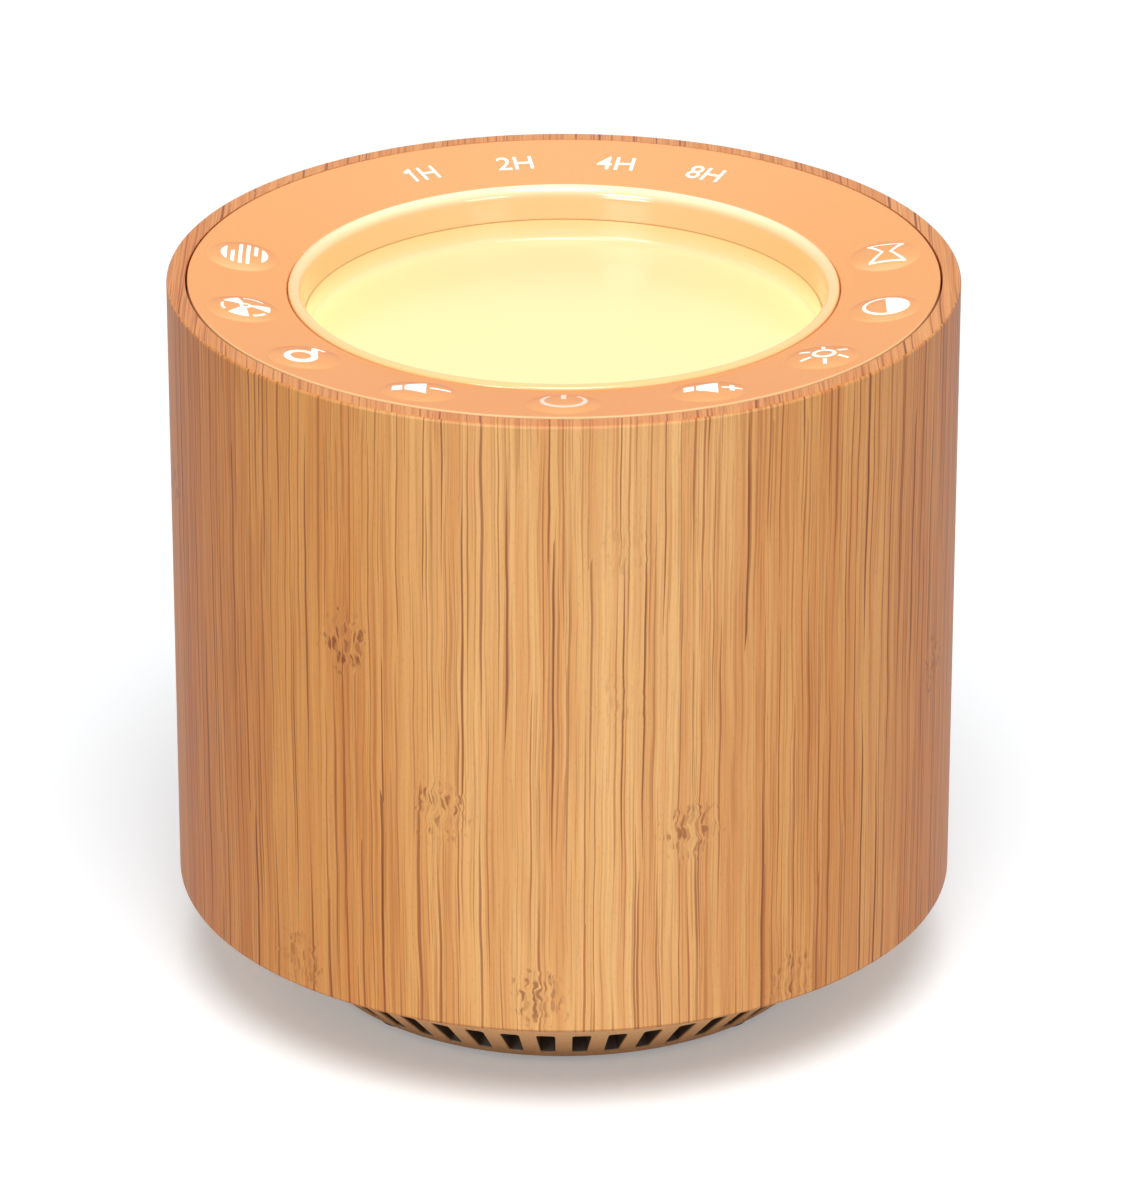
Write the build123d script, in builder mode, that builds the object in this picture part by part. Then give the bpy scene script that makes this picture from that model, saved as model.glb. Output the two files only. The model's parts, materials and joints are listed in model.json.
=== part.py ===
from build123d import *
import os
from math import cos, pi, radians, sin, tan

# White noise sound machine: a bamboo sleeve, a sloping key panel round a sunken lamp, and a
# speaker that faces down into a slotted conical base.  Millimetres, +Z up.  The origin is on the
# table, under the middle of the machine.  The power key is at the front, toward -Y, and the
# power socket at the back, toward +Y.

# ---------------------------------------------------------------- sleeve
sleeve_radius = 50.0
sleeve_height = 81.8
sleeve_wall = 4.0
sleeve_edge = 0.45
seat_width = 1.65
panel_seat_depth = 6.0
base_seat_depth = 1.5

# ---------------------------------------------------------------- fits
seam = 0.25
hairline = 0.15
slide_fit = 0.06
thread_fit = 0.03
screw_play = 0.2
board_play = 0.6
touch_gap = 0.05

# ---------------------------------------------------------------- control panel
panel_band = 12.5
panel_slope = 8.0
panel_proud = 0.1
panel_wall = 1.8
panel_edge = 0.2
skirt_wall = 1.0
panel_boss_radius = 2.5
panel_boss_angles = [-102.5, -77.5, -27.5, 46.0, 134.0, -152.5]

# ---------------------------------------------------------------- keys
key_names = [
    "noise_key",
    "fan_key",
    "music_key",
    "volume_down_key",
    "power_key",
    "volume_up_key",
    "brightness_key",
    "colour_key",
    "timer_key",
]
key_pitch = 25.0
front_angle = -90.0
key_inset = 6.0
key_radius = 4.65
key_dome = 0.65
key_depth = 3.46
key_shell = 1.2
key_stem_radius = 1.5
key_travel = 0.35
ear_reach = 1.25
ear_length = 5.0

# ---------------------------------------------------------------- key switches and board
plunger_radius = 1.7
plunger_rise = 1.0
plunger_root = 0.6
switch_size = 6.0
switch_height = 3.4
stem_length = 1.0
board_thickness = 1.6
led_length = 2.0
led_width = 1.2
led_height = 0.7
timer_label_inset = 7.0
timer_label_angles = [63.0, 81.0, 99.0, 117.0]

# ---------------------------------------------------------------- lamp
bezel_width = 1.35
bezel_rise = 0.46
bezel_round = 0.55
bezel_depth = 4.25
bezel_draft = 0.5
bezel_flange = 1.55
bezel_flange_lift = 0.25
pan_inset = 0.3
pan_wall = 1.5
pan_depth = 2.8
pan_floor = 2.0
pan_fillet = 0.8
pan_seat = 4.1
reflector_rim = 1.95
reflector_floor = 1.6
reflector_wall = 2.2
reflector_depth = 12.0
throat_height = 2.0
throat_margin = 7.0
reflector_foot_thickness = 1.4
lamp_boss_radius = 2.2
lamp_boss_height = 2.9
lamp_boss_cap = 0.3
lamp_boss_margin = 0.2
lamp_boss_inset = 2.5
lamp_led_size = 5.0
lamp_led_height = 1.6
inner_ring_radius = 5.6
inner_ring_count = 4
outer_ring_radius = 13.0
outer_ring_count = 8
lamp_screw_angles = [90.0, 210.0, 330.0]

# ---------------------------------------------------------------- chassis
chassis_thickness = 2.0
chassis_clearance = 0.6
board_pad = 0.8
chassis_rim_height = 6.0
chassis_rim_wall = 1.0
pillar_radius = 4.0
pillar_inset = 5.5
pillar_angles = [25.0, 155.0, 240.0, 300.0]
cable_slot_length = 10.0
cable_slot_width = 2.4

# ---------------------------------------------------------------- base
foot_proud = 0.8
foot_thickness = 1.3
foot_radius = 3.2
foot_margin = 0.9
foot_count = 4
foot_start = 45.0
grille_drop = 12.2
grille_inset = 13.0
grille_wall = 2.2
grille_lip = 2.4
grille_round = 0.5
grille_floor = 3.2
deflector_margin = 3.8
deflector_height = 6.6
deflector_tip = 4.0
slot_count = 54
slot_start = 1.65
slot_length = 7.8
slot_bar = 2.13
slot_round = 0.55
screen_thickness = 0.4
screen_start = 0.5
screen_stop = 3.0

# ---------------------------------------------------------------- speaker
baffle_thickness = 2.5
post_radius = 2.4
opening_margin = 0.7
gasket_thickness = 0.8
gasket_margin = 0.6
basket_sheet = 1.0
basket_lip = 0.4
basket_flange_overhang = 3.1
basket_height = 15.2
basket_back_radius = 20.2
basket_windows = 4
window_width = 14.0
window_height = 8.0
coil_radius = 7.6
coil_wall = 0.9
coil_length = 10.5
coil_gap = 0.35
coil_entry = 4.0
front_plate_thickness = 3.0
magnet_height = 8.0
magnet_overhang = 1.5
magnet_bore_margin = 2.5
plate_radius = 20.0
yoke_thickness = 3.0
cone_sheet = 0.6
cone_lift = 1.2
roll_width = 3.4
roll_sheet = 0.5
dust_cap_height = 2.7
dust_cap_sheet = 0.4
spider_sheet = 0.4
spider_wave = 0.6
spider_waves = 4
spider_lift = 11.8
soft_gap = 0.1
terminal_width = 8.0
terminal_height = 5.0
terminal_sheet = 1.0

# ---------------------------------------------------------------- main board and socket
main_board_width = 48.0
main_board_height = 41.0
main_board_lift = 4.0
main_board_back = 10.4
board_screw_inset = 4.0
rail_width = 5.0
rail_depth = 4.5
rail_overhang = 1.0
socket_lift = 14.0
socket_width = 9.0
socket_height = 3.3
socket_sheet = 0.35
socket_setback = 0.4
socket_cavity = 8.0
tongue_width = 6.7
tongue_thickness = 0.7
tongue_length = 6.4
recess_width = 12.6
recess_height = 7.4
recess_round = 2.4
header_width = 7.5
header_height = 4.0
header_depth = 4.0
speaker_header_lift = 8.0
lamp_header_offset = 10.0
top_header_drop = 10.0
processor_size = 9.0
processor_lift = 20.0
driver_width = 7.0
driver_height = 6.0
driver_lift = 14.0
memory_width = 6.0
memory_height = 5.0
memory_lift = 21.5
chip_thickness = 1.4
chip_margin = 3.0
capacitor_radius = 3.15
capacitor_length = 7.0
capacitor_margin = 0.85
capacitor_pitch = 8.0
low_capacitor_lift = 10.0
high_capacitor_lift = 33.0

# ---------------------------------------------------------------- screws and wires
small_shank = 1.0
small_head = 1.9
small_head_height = 1.4
large_shank = 1.25
large_head = 2.4
large_head_height = 1.3
screw_bite = 4.5
screw_tip_room = 1.0
wire_radius = 0.55
wire_spacing = 2.0
ribbon_width = 8.0
ribbon_thickness = 0.6
lamp_wire_inset = 6.0
wire_drop = 5.8
ribbon_drop = 11.6
ribbon_rise = 8.7
wire_run = 0.35
bend_share = 0.45

# ---------------------------------------------------------------- worked-out radii
sleeve_bore = sleeve_radius - sleeve_wall
seat_bore = sleeve_bore + seat_width
panel_outer = seat_bore - seam
panel_inner = panel_outer - panel_band
skirt_inner = panel_outer - skirt_wall
key_circle = panel_outer - key_inset
timer_label_circle = panel_outer - timer_label_inset
bezel_outer = panel_inner - hairline
bezel_inner = bezel_outer - bezel_width
bezel_throat = bezel_inner - bezel_draft
bezel_flange_radius = bezel_outer + bezel_flange
pan_inner = bezel_throat - pan_inset
pan_outer = pan_inner + pan_wall
reflector_inner = pan_outer + hairline
reflector_outer = reflector_inner + reflector_rim
mouth_radius = pan_outer - pan_seat
throat_radius = outer_ring_radius + throat_margin
reflector_slope = (mouth_radius - throat_radius) / (reflector_depth - throat_height)
board_outer = sleeve_bore - board_play
board_inner = bezel_flange_radius + board_play
pillar_circle = sleeve_bore - pillar_inset
baffle_radius = sleeve_bore - seam
lip_inner = sleeve_bore - grille_lip
grille_foot = sleeve_bore - grille_inset
foot_circle = grille_foot - foot_radius - foot_margin
opening_radius = foot_circle - post_radius - opening_margin
deflector_radius = opening_radius - deflector_margin
gasket_inner = opening_radius + gasket_margin
basket_flange_radius = foot_circle + basket_flange_overhang
basket_inner = opening_radius - basket_lip
roll_outer = basket_inner - 2 * soft_gap
roll_inner = roll_outer - roll_width
coil_outer = coil_radius + coil_wall
plate_bore = coil_outer + coil_gap
pole_radius = coil_radius - coil_gap
terminal_place = foot_circle + basket_flange_overhang / 2
main_board_rear = sleeve_bore - main_board_back
main_board_front = main_board_rear - board_thickness
header_middle = main_board_front - header_depth / 2
rail_place = main_board_width / 2 - board_screw_inset
rail_face = rail_place - rail_width / 2
ribbon_place = (board_inner + board_outer) / 2
boss_distance = 2 * key_circle * sin(radians(key_pitch / 4))
led_offset = (switch_size / 2 + boss_distance - panel_boss_radius) / 2

# ---------------------------------------------------------------- worked-out heights
grille_bottom = foot_proud
sleeve_bottom = grille_bottom + grille_drop
sleeve_top = sleeve_bottom + sleeve_height
panel_seat = sleeve_top - panel_seat_depth
base_seat = sleeve_bottom + base_seat_depth
baffle_top = base_seat + baffle_thickness
basket_front = baffle_top + gasket_thickness
basket_shelf = basket_front + basket_sheet
plate_bottom = basket_front + basket_height
plate_top = plate_bottom + front_plate_thickness
magnet_top = plate_top + magnet_height
coil_top = plate_bottom + coil_entry
coil_bottom = coil_top - coil_length
cone_edge = basket_front + cone_lift
spider_height = basket_front + spider_lift
floor_top = grille_bottom + grille_floor
main_board_bottom = baffle_top + main_board_lift
main_board_top = main_board_bottom + main_board_height
socket_middle = sleeve_bottom + socket_lift


def panel_top(radius):
    """Height of the panel's sloping face at a radius."""
    return sleeve_top + panel_proud - (panel_outer - radius) * tan(radians(panel_slope))


def panel_under(radius):
    """Height of the panel's underside at a radius."""
    return panel_top(radius) - panel_wall


key_bottom = panel_top(key_circle) - key_depth
plunger_top = key_bottom - stem_length
switch_top = plunger_top - plunger_rise
board_top = switch_top - switch_height
board_bottom = board_top - board_thickness
bezel_crest = panel_top(panel_inner) + bezel_rise
bezel_bottom = bezel_crest - bezel_depth
pan_top = bezel_bottom - hairline
pan_face = pan_top - pan_depth
pan_bottom = pan_face - pan_floor
rim_top = bezel_bottom + bezel_flange_lift
chassis_top = min(board_bottom - board_pad, pan_bottom - reflector_floor)
chassis_bottom = chassis_top - chassis_thickness
reflector_bottom = pan_bottom - reflector_depth
reflector_foot_top = reflector_bottom + reflector_foot_thickness
reflector_waist = mouth_radius - reflector_slope * (pan_bottom - chassis_top) + reflector_wall
reflector_ankle = reflector_waist - reflector_slope * (chassis_top - reflector_foot_top)
lamp_boss_circle = reflector_ankle + lamp_boss_margin + lamp_boss_radius
reflector_foot_radius = lamp_boss_circle + lamp_boss_inset
lamp_wire_start = lamp_boss_circle - lamp_wire_inset
chassis_inner = reflector_waist + chassis_clearance
lamp_board_bottom = reflector_bottom - board_thickness
key_angles = [front_angle + key_pitch * (i - len(key_names) // 2) for i in range(len(key_names))]
key_span = key_angles[-1] - key_angles[0]


def spots(radius, angles):
    """Places on a circle round the machine's axis."""
    return [(radius * cos(radians(angle)), radius * sin(radians(angle))) for angle in angles]


def cone_face(radius, depth):
    """Height of the base cone at a radius, a depth inside its outer face."""
    slope = Vector(grille_inset, grille_drop)
    outer = grille_bottom + (radius - grille_foot) * grille_drop / grille_inset
    return outer + depth * slope.length / grille_inset


def along_cone(distance, depth):
    """A point a distance up the base cone from its foot, a depth inside its outer face."""
    slope = Vector(grille_inset, grille_drop).normalized()
    foot = Vector(grille_foot, grille_bottom)
    return foot + slope * distance + Vector(-slope.Y, slope.X) * depth


def basket_wall(height):
    """Radius of the inside of the speaker basket at a height."""
    share = (height - basket_shelf) / (plate_bottom - basket_sheet - basket_shelf)
    return basket_inner + (basket_back_radius - basket_inner) * share


def bend_radii(points):
    """The radius of each bend in a wire's route, as large as its two runs allow."""
    runs = [Vector(b) - Vector(a) for a, b in zip(points, points[1:])]
    radii = []
    for before, after in zip(runs, runs[1:]):
        half_turn = radians(before.get_angle(after) / 2)
        radii.append(bend_share * min(before.length, after.length) / tan(half_turn))
    return radii


def wires(routes):
    """Round wires, one along each route."""
    with BuildPart() as bundle:
        for points in routes:
            with BuildLine() as route:
                FilletPolyline(*points, radius=bend_radii(points))
            with BuildSketch(Plane(points[0], z_dir=Vector(points[1]) - Vector(points[0]))):
                Circle(wire_radius)
            sweep(path=route.line)
    return bundle


def screws(places, start, length, shank, head, head_height):
    """Screws that point up: each shank starts at a height, with its head below."""
    with BuildPart() as group:
        with BuildSketch(Plane.XY.offset(start - head_height)):
            with Locations(*places):
                Circle(head)
        extrude(amount=head_height)
        with BuildSketch(Plane.XY.offset(start)):
            with Locations(*places):
                Circle(shank)
        extrude(amount=length)
    return group


def save(piece, name):
    """Labels a finished piece and writes it as one STEP file."""
    piece.part.label = name
    export_step(piece.part, f"parts/{name}.step")


os.makedirs("parts", exist_ok=True)
foot_angles = [foot_start + i * 360.0 / foot_count for i in range(foot_count)]
foot_places = spots(foot_circle, foot_angles)
boss_places = spots(key_circle, panel_boss_angles)
pillar_places = spots(pillar_circle, pillar_angles)
lamp_screw_places = spots(lamp_boss_circle, lamp_screw_angles)
key_places = spots(key_circle, key_angles)

# ================================================================ bamboo sleeve
with BuildPart() as bamboo_sleeve:
    with BuildSketch(Plane.XZ):
        Polygon(
            (sleeve_bore, panel_seat),
            (seat_bore, panel_seat),
            (seat_bore, sleeve_top),
            (sleeve_radius, sleeve_top),
            (sleeve_radius, sleeve_bottom),
            (seat_bore, sleeve_bottom),
            (seat_bore, base_seat),
            (sleeve_bore, base_seat),
        )
    revolve(axis=Axis.Z)
    rims = bamboo_sleeve.edges().filter_by(GeomType.CIRCLE)
    fillet(rims.filter_by(lambda rim: rim.radius > sleeve_radius - sleeve_edge), sleeve_edge)
    # Recess through the back wall for the plug of the power cable.
    with BuildSketch(Plane.XZ.offset(-sleeve_bore + sleeve_wall / 2)):
        with Locations((0, socket_middle)):
            RectangleRounded(recess_width, recess_height, recess_round)
    extrude(amount=-2 * sleeve_wall, mode=Mode.SUBTRACT)
save(bamboo_sleeve, "bamboo_sleeve")

# ================================================================ control panel
with BuildPart() as control_panel:
    with BuildSketch(Plane.XZ):
        Polygon(
            (panel_inner, panel_under(panel_inner)),
            (panel_inner, panel_top(panel_inner)),
            (panel_outer, panel_top(panel_outer)),
            (panel_outer, panel_seat),
            (skirt_inner, panel_seat),
            (skirt_inner, panel_under(skirt_inner)),
        )
    revolve(axis=Axis.Z)
    rims = control_panel.edges().filter_by(GeomType.CIRCLE)
    top_rims = rims.filter_by(lambda rim: rim.arc_center.Z > panel_top(panel_inner) - touch_gap)
    fillet(top_rims, panel_edge)
    # Bosses for the screws that draw the chassis and the key board up to the panel.
    with BuildSketch(Plane.XY.offset(board_top)):
        with Locations(*boss_places):
            Circle(panel_boss_radius)
    extrude(amount=panel_under(key_circle) + panel_wall / 2 - board_top)
    with BuildSketch(Plane.XY.offset(board_top)):
        with Locations(*boss_places):
            Circle(small_shank + thread_fit)
    extrude(amount=screw_bite + screw_tip_room, mode=Mode.SUBTRACT)
    with BuildSketch(Plane.XY.offset(sleeve_top + panel_wall)):
        with Locations(*key_places):
            Circle(key_radius + slide_fit)
    extrude(amount=-panel_seat_depth, mode=Mode.SUBTRACT)
save(control_panel, "control_panel")

# ================================================================ keys and their plungers
dome_radius = (key_radius**2 + key_dome**2) / (2 * key_dome)
dome_drop = dome_radius - key_dome
dome_circle = key_circle + dome_drop * sin(radians(panel_slope))
dome_height = panel_top(key_circle) - dome_drop * cos(radians(panel_slope))
hollow_top = panel_top(key_circle) - key_shell


def make_key(angle):
    """A domed key that follows the panel's slope, held under the panel by two ears."""
    with BuildPart() as key:
        with BuildSketch(Plane.XY.offset(key_bottom)):
            with PolarLocations(key_circle, 1, angle):
                Rectangle(ear_length, 2 * (key_radius + ear_reach))
        extrude(amount=key_depth)
        with BuildSketch(Plane.XZ):
            Polygon(
                (panel_inner, panel_under(panel_inner) - hairline),
                (panel_outer, panel_under(panel_outer) - hairline),
                (panel_outer, sleeve_top + panel_wall),
                (panel_inner, sleeve_top + panel_wall),
            )
        revolve(axis=Axis.Z, mode=Mode.SUBTRACT)
        with BuildSketch(Plane.XY.offset(key_bottom)):
            with PolarLocations(key_circle, 1, angle):
                Circle(key_radius)
        extrude(amount=key_depth + panel_wall)
        with Locations((0, 0, dome_height)):
            with PolarLocations(dome_circle, 1, angle):
                Sphere(dome_radius, mode=Mode.INTERSECT)
        with BuildSketch(Plane.XY.offset(key_bottom)):
            with PolarLocations(key_circle, 1, angle):
                Circle(key_radius - key_shell)
                Circle(key_stem_radius, mode=Mode.SUBTRACT)
        extrude(amount=hollow_top - key_bottom, mode=Mode.SUBTRACT)
        with BuildSketch(Plane.XY.offset(plunger_top)):
            with PolarLocations(key_circle, 1, angle):
                Circle(key_stem_radius)
        extrude(amount=hollow_top - plunger_top)
    return key


def make_plunger(angle):
    """The push rod that stands out of the switch under a key."""
    with BuildPart() as plunger:
        with BuildSketch(Plane.XY.offset(switch_top - plunger_root)):
            with PolarLocations(key_circle, 1, angle):
                Circle(plunger_radius)
        extrude(amount=plunger_root + plunger_rise)
    return plunger


for key_name, key_angle in zip(key_names, key_angles):
    save(make_key(key_angle), key_name)
    save(make_plunger(key_angle), key_name.replace("key", "plunger"))

# ================================================================ key board
with BuildPart() as key_board:
    with BuildSketch(Plane.XY.offset(board_bottom)):
        Circle(board_outer)
        Circle(board_inner, mode=Mode.SUBTRACT)
        with Locations(*boss_places):
            Circle(small_shank + screw_play, mode=Mode.SUBTRACT)
    extrude(amount=board_thickness)
save(key_board, "key_board")

with BuildPart() as key_switches:
    with BuildSketch(Plane.XY.offset(board_top)):
        with PolarLocations(key_circle, len(key_names), key_angles[0], key_span, endpoint=True):
            Rectangle(switch_size, switch_size)
    extrude(amount=switch_height)
    with BuildSketch(Plane.XY.offset(switch_top)):
        with Locations(*key_places):
            Circle(plunger_radius + slide_fit)
    extrude(amount=-plunger_root - 2 * key_travel, mode=Mode.SUBTRACT)
save(key_switches, "key_switches")

with BuildPart() as icon_leds:
    with BuildSketch(Plane.XY.offset(board_top)):
        for key_angle in key_angles:
            with PolarLocations(key_circle, 1, key_angle):
                with Locations((0, led_offset)):
                    Rectangle(led_width, led_length)
        for label_angle in timer_label_angles:
            with PolarLocations(timer_label_circle, 1, label_angle):
                Rectangle(led_width, led_length)
    extrude(amount=led_height)
save(icon_leds, "icon_leds")

# ================================================================ lamp
with BuildPart() as lamp_bezel:
    with BuildSketch(Plane.XZ) as bezel_section:
        Polygon(
            (bezel_throat, bezel_bottom),
            (bezel_inner, bezel_crest),
            (bezel_outer, bezel_crest),
            (bezel_outer, panel_under(bezel_outer) - touch_gap),
            (bezel_flange_radius, panel_under(bezel_flange_radius) - touch_gap),
            (bezel_flange_radius, rim_top),
            (pan_outer, rim_top),
            (pan_outer, bezel_bottom),
        )
        fillet(bezel_section.vertices().group_by(Axis.Y)[-1], bezel_round)
    revolve(axis=Axis.Z)
save(lamp_bezel, "lamp_bezel")

with BuildPart() as lamp_diffuser:
    with BuildSketch(Plane.XZ):
        Polygon(
            (0, pan_bottom),
            (pan_outer, pan_bottom),
            (pan_outer, pan_top),
            (pan_inner, pan_top),
            (pan_inner, pan_face),
            (0, pan_face),
        )
    revolve(axis=Axis.Z)
    rims = lamp_diffuser.edges().filter_by(GeomType.CIRCLE)
    floor_rims = rims.filter_by(lambda rim: abs(rim.arc_center.Z - pan_face) < touch_gap)
    fillet(floor_rims, pan_fillet)
save(lamp_diffuser, "lamp_diffuser")

with BuildPart() as lamp_reflector:
    with BuildSketch(Plane.XZ):
        Polygon(
            (reflector_inner, rim_top),
            (reflector_outer, rim_top),
            (reflector_outer, chassis_top),
            (reflector_waist, chassis_top),
            (reflector_ankle, reflector_foot_top),
            (reflector_foot_radius, reflector_foot_top),
            (reflector_foot_radius, reflector_bottom),
            (throat_radius, reflector_bottom),
            (throat_radius, reflector_bottom + throat_height),
            (mouth_radius, pan_bottom),
            (reflector_inner, pan_bottom),
        )
    revolve(axis=Axis.Z)
    with BuildSketch(Plane.XY.offset(reflector_bottom)):
        with Locations(*lamp_screw_places):
            Circle(lamp_boss_radius)
    extrude(amount=lamp_boss_height)
    with BuildSketch(Plane.XY.offset(reflector_bottom)):
        with Locations(*lamp_screw_places):
            Circle(small_shank + thread_fit)
    extrude(amount=lamp_boss_height - lamp_boss_cap, mode=Mode.SUBTRACT)
save(lamp_reflector, "lamp_reflector")

with BuildPart() as lamp_board:
    with BuildSketch(Plane.XY.offset(lamp_board_bottom)):
        Circle(reflector_foot_radius)
        with Locations(*lamp_screw_places):
            Circle(small_shank + screw_play, mode=Mode.SUBTRACT)
    extrude(amount=board_thickness)
save(lamp_board, "lamp_board")

with BuildPart() as lamp_leds:
    with BuildSketch(Plane.XY.offset(reflector_bottom)):
        with PolarLocations(inner_ring_radius, inner_ring_count):
            Rectangle(lamp_led_size, lamp_led_size)
        with PolarLocations(outer_ring_radius, outer_ring_count):
            Rectangle(lamp_led_size, lamp_led_size)
    extrude(amount=lamp_led_height)
save(lamp_leds, "lamp_leds")

lamp_screws = screws(
    lamp_screw_places,
    lamp_board_bottom,
    board_thickness + lamp_boss_height / 2,
    small_shank,
    small_head,
    small_head_height,
)
save(lamp_screws, "lamp_screws")

# ================================================================ chassis
with BuildPart() as inner_chassis:
    with BuildSketch(Plane.XY.offset(chassis_bottom)):
        Circle(board_outer)
        Circle(chassis_inner, mode=Mode.SUBTRACT)
    extrude(amount=chassis_thickness)
    with BuildSketch(Plane.XY.offset(chassis_bottom)):
        Circle(board_outer)
        Circle(board_outer - chassis_rim_wall, mode=Mode.SUBTRACT)
    extrude(amount=-chassis_rim_height)
    with BuildSketch(Plane.XY.offset(chassis_top)):
        with Locations(*boss_places):
            Circle(panel_boss_radius)
    extrude(amount=board_bottom - chassis_top)
    # Pillars that stand on the speaker baffle.
    with BuildSketch(Plane.XY.offset(baffle_top)):
        with Locations(*pillar_places):
            Circle(pillar_radius)
    extrude(amount=chassis_bottom - baffle_top)
    # Rails that the main board is screwed to.
    with BuildSketch(Plane.XY.offset(main_board_bottom + rail_overhang)):
        with Locations((rail_place, main_board_front), (-rail_place, main_board_front)):
            Rectangle(rail_width, rail_depth, align=(Align.CENTER, Align.MAX))
    extrude(amount=chassis_bottom - main_board_bottom - rail_overhang)
    with BuildSketch(Plane.XY.offset(chassis_bottom)):
        with Locations(*boss_places):
            Circle(small_shank + screw_play)
        with Locations((0, ribbon_place)):
            Rectangle(cable_slot_length, cable_slot_width)
    extrude(amount=board_bottom - chassis_bottom, mode=Mode.SUBTRACT)
    with BuildSketch(Plane.XY.offset(baffle_top)):
        with Locations(*pillar_places):
            Circle(large_shank + thread_fit)
    extrude(amount=screw_bite + screw_tip_room, mode=Mode.SUBTRACT)
    with BuildSketch(Plane.XZ.offset(-main_board_front)):
        for side in (-rail_place, rail_place):
            with Locations(
                (side, main_board_bottom + board_screw_inset),
                (side, main_board_top - board_screw_inset),
            ):
                Circle(small_shank + thread_fit)
    extrude(amount=rail_depth - screw_play, mode=Mode.SUBTRACT)
save(inner_chassis, "inner_chassis")

panel_screws = screws(
    boss_places,
    chassis_bottom,
    board_top - chassis_bottom + screw_bite,
    small_shank,
    small_head,
    small_head_height,
)
save(panel_screws, "panel_screws")

# ================================================================ main board
with BuildPart() as main_board:
    with BuildSketch(Plane.XZ.offset(-main_board_front)):
        with Locations((0, main_board_bottom + main_board_height / 2)):
            Rectangle(main_board_width, main_board_height)
        for side in (-rail_place, rail_place):
            with Locations(
                (side, main_board_bottom + board_screw_inset),
                (side, main_board_top - board_screw_inset),
            ):
                Circle(small_shank + screw_play, mode=Mode.SUBTRACT)
    extrude(amount=-board_thickness)
save(main_board, "main_board")

with BuildPart() as board_screws:
    for side in (-rail_place, rail_place):
        for height in (main_board_bottom + board_screw_inset, main_board_top - board_screw_inset):
            with BuildSketch(Plane.XZ.offset(-main_board_rear)):
                with Locations((side, height)):
                    Circle(small_head)
            extrude(amount=-small_head_height)
            with BuildSketch(Plane.XZ.offset(-main_board_rear)):
                with Locations((side, height)):
                    Circle(small_shank)
            extrude(amount=board_thickness + rail_depth - screw_tip_room)
save(board_screws, "board_screws")

driver_place = rail_face - chip_margin - driver_width / 2
memory_place = rail_face - chip_margin - memory_width / 2
with BuildPart() as board_chips:
    with BuildSketch(Plane.XZ.offset(-main_board_front)):
        with Locations((0, main_board_bottom + processor_lift)):
            Rectangle(processor_size, processor_size)
        with Locations((driver_place, main_board_bottom + driver_lift)):
            Rectangle(driver_width, driver_height)
        with Locations((-memory_place, main_board_bottom + memory_lift)):
            Rectangle(memory_width, memory_height)
    extrude(amount=chip_thickness)
save(board_chips, "board_chips")

capacitor_place = rail_face - capacitor_margin - capacitor_radius
with BuildPart() as capacitors:
    with BuildSketch(Plane.XZ.offset(-main_board_front)):
        with Locations(
            (-capacitor_place, main_board_bottom + low_capacitor_lift),
            (-capacitor_place, main_board_bottom + high_capacitor_lift),
            (-capacitor_place + capacitor_pitch, main_board_bottom + high_capacitor_lift),
        ):
            Circle(capacitor_radius)
    extrude(amount=capacitor_length)
save(capacitors, "capacitors")

speaker_header = main_board_bottom + speaker_header_lift
top_header = main_board_top - top_header_drop
with BuildPart() as board_headers:
    with BuildSketch(Plane.XZ.offset(-main_board_front)):
        with Locations((0, speaker_header), (lamp_header_offset, top_header)):
            Rectangle(header_width, header_height, align=(Align.CENTER, Align.MIN))
    extrude(amount=header_depth)
    with BuildSketch(Plane.XZ.offset(-main_board_rear)):
        with Locations((0, top_header)):
            Rectangle(header_width + wire_spacing, header_height, align=(Align.CENTER, Align.MIN))
    extrude(amount=-header_depth)
save(board_headers, "board_headers")

# ================================================================ power socket
socket_mouth = sleeve_bore - socket_setback
socket_length = socket_mouth - main_board_rear
with BuildPart() as usb_socket:
    with BuildSketch(Plane.XZ.offset(-main_board_rear)):
        with Locations((0, socket_middle)):
            SlotOverall(socket_width, socket_height)
    extrude(amount=-socket_length)
    with BuildSketch(Plane.XZ.offset(-socket_mouth)):
        with Locations((0, socket_middle)):
            SlotOverall(socket_width - 2 * socket_sheet, socket_height - 2 * socket_sheet)
    extrude(amount=socket_cavity, mode=Mode.SUBTRACT)
save(usb_socket, "usb_socket")

with BuildPart() as usb_tongue:
    with BuildSketch(Plane.XZ.offset(-socket_mouth + socket_cavity)):
        with Locations((0, socket_middle)):
            Rectangle(tongue_width, tongue_thickness)
    extrude(amount=-tongue_length)
save(usb_tongue, "usb_tongue")

# ================================================================ wires inside the case
ribbon_foot = main_board_rear + header_depth / 2
with BuildPart() as key_cable:
    ribbon_points = [
        (0, ribbon_place, board_bottom),
        (0, ribbon_place, chassis_bottom - ribbon_drop),
        (0, ribbon_foot, top_header + header_height + ribbon_rise),
        (0, ribbon_foot, top_header + header_height),
    ]
    with BuildLine() as ribbon_route:
        FilletPolyline(*ribbon_points, radius=bend_radii(ribbon_points))
    with BuildSketch(Plane(ribbon_points[0], x_dir=(1, 0, 0), z_dir=(0, 0, -1))):
        Rectangle(ribbon_width, ribbon_thickness)
    sweep(path=ribbon_route.line)
save(key_cable, "key_cable")

lamp_routes = [
    [
        (across, lamp_wire_start, lamp_board_bottom),
        (across, lamp_wire_start, lamp_board_bottom - wire_drop),
        (across, header_middle, top_header + header_height + wire_drop),
        (across, header_middle, top_header + header_height),
    ]
    for across in (lamp_header_offset - wire_spacing / 2, lamp_header_offset + wire_spacing / 2)
]
lamp_cable = wires(lamp_routes)
save(lamp_cable, "lamp_cable")

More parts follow.
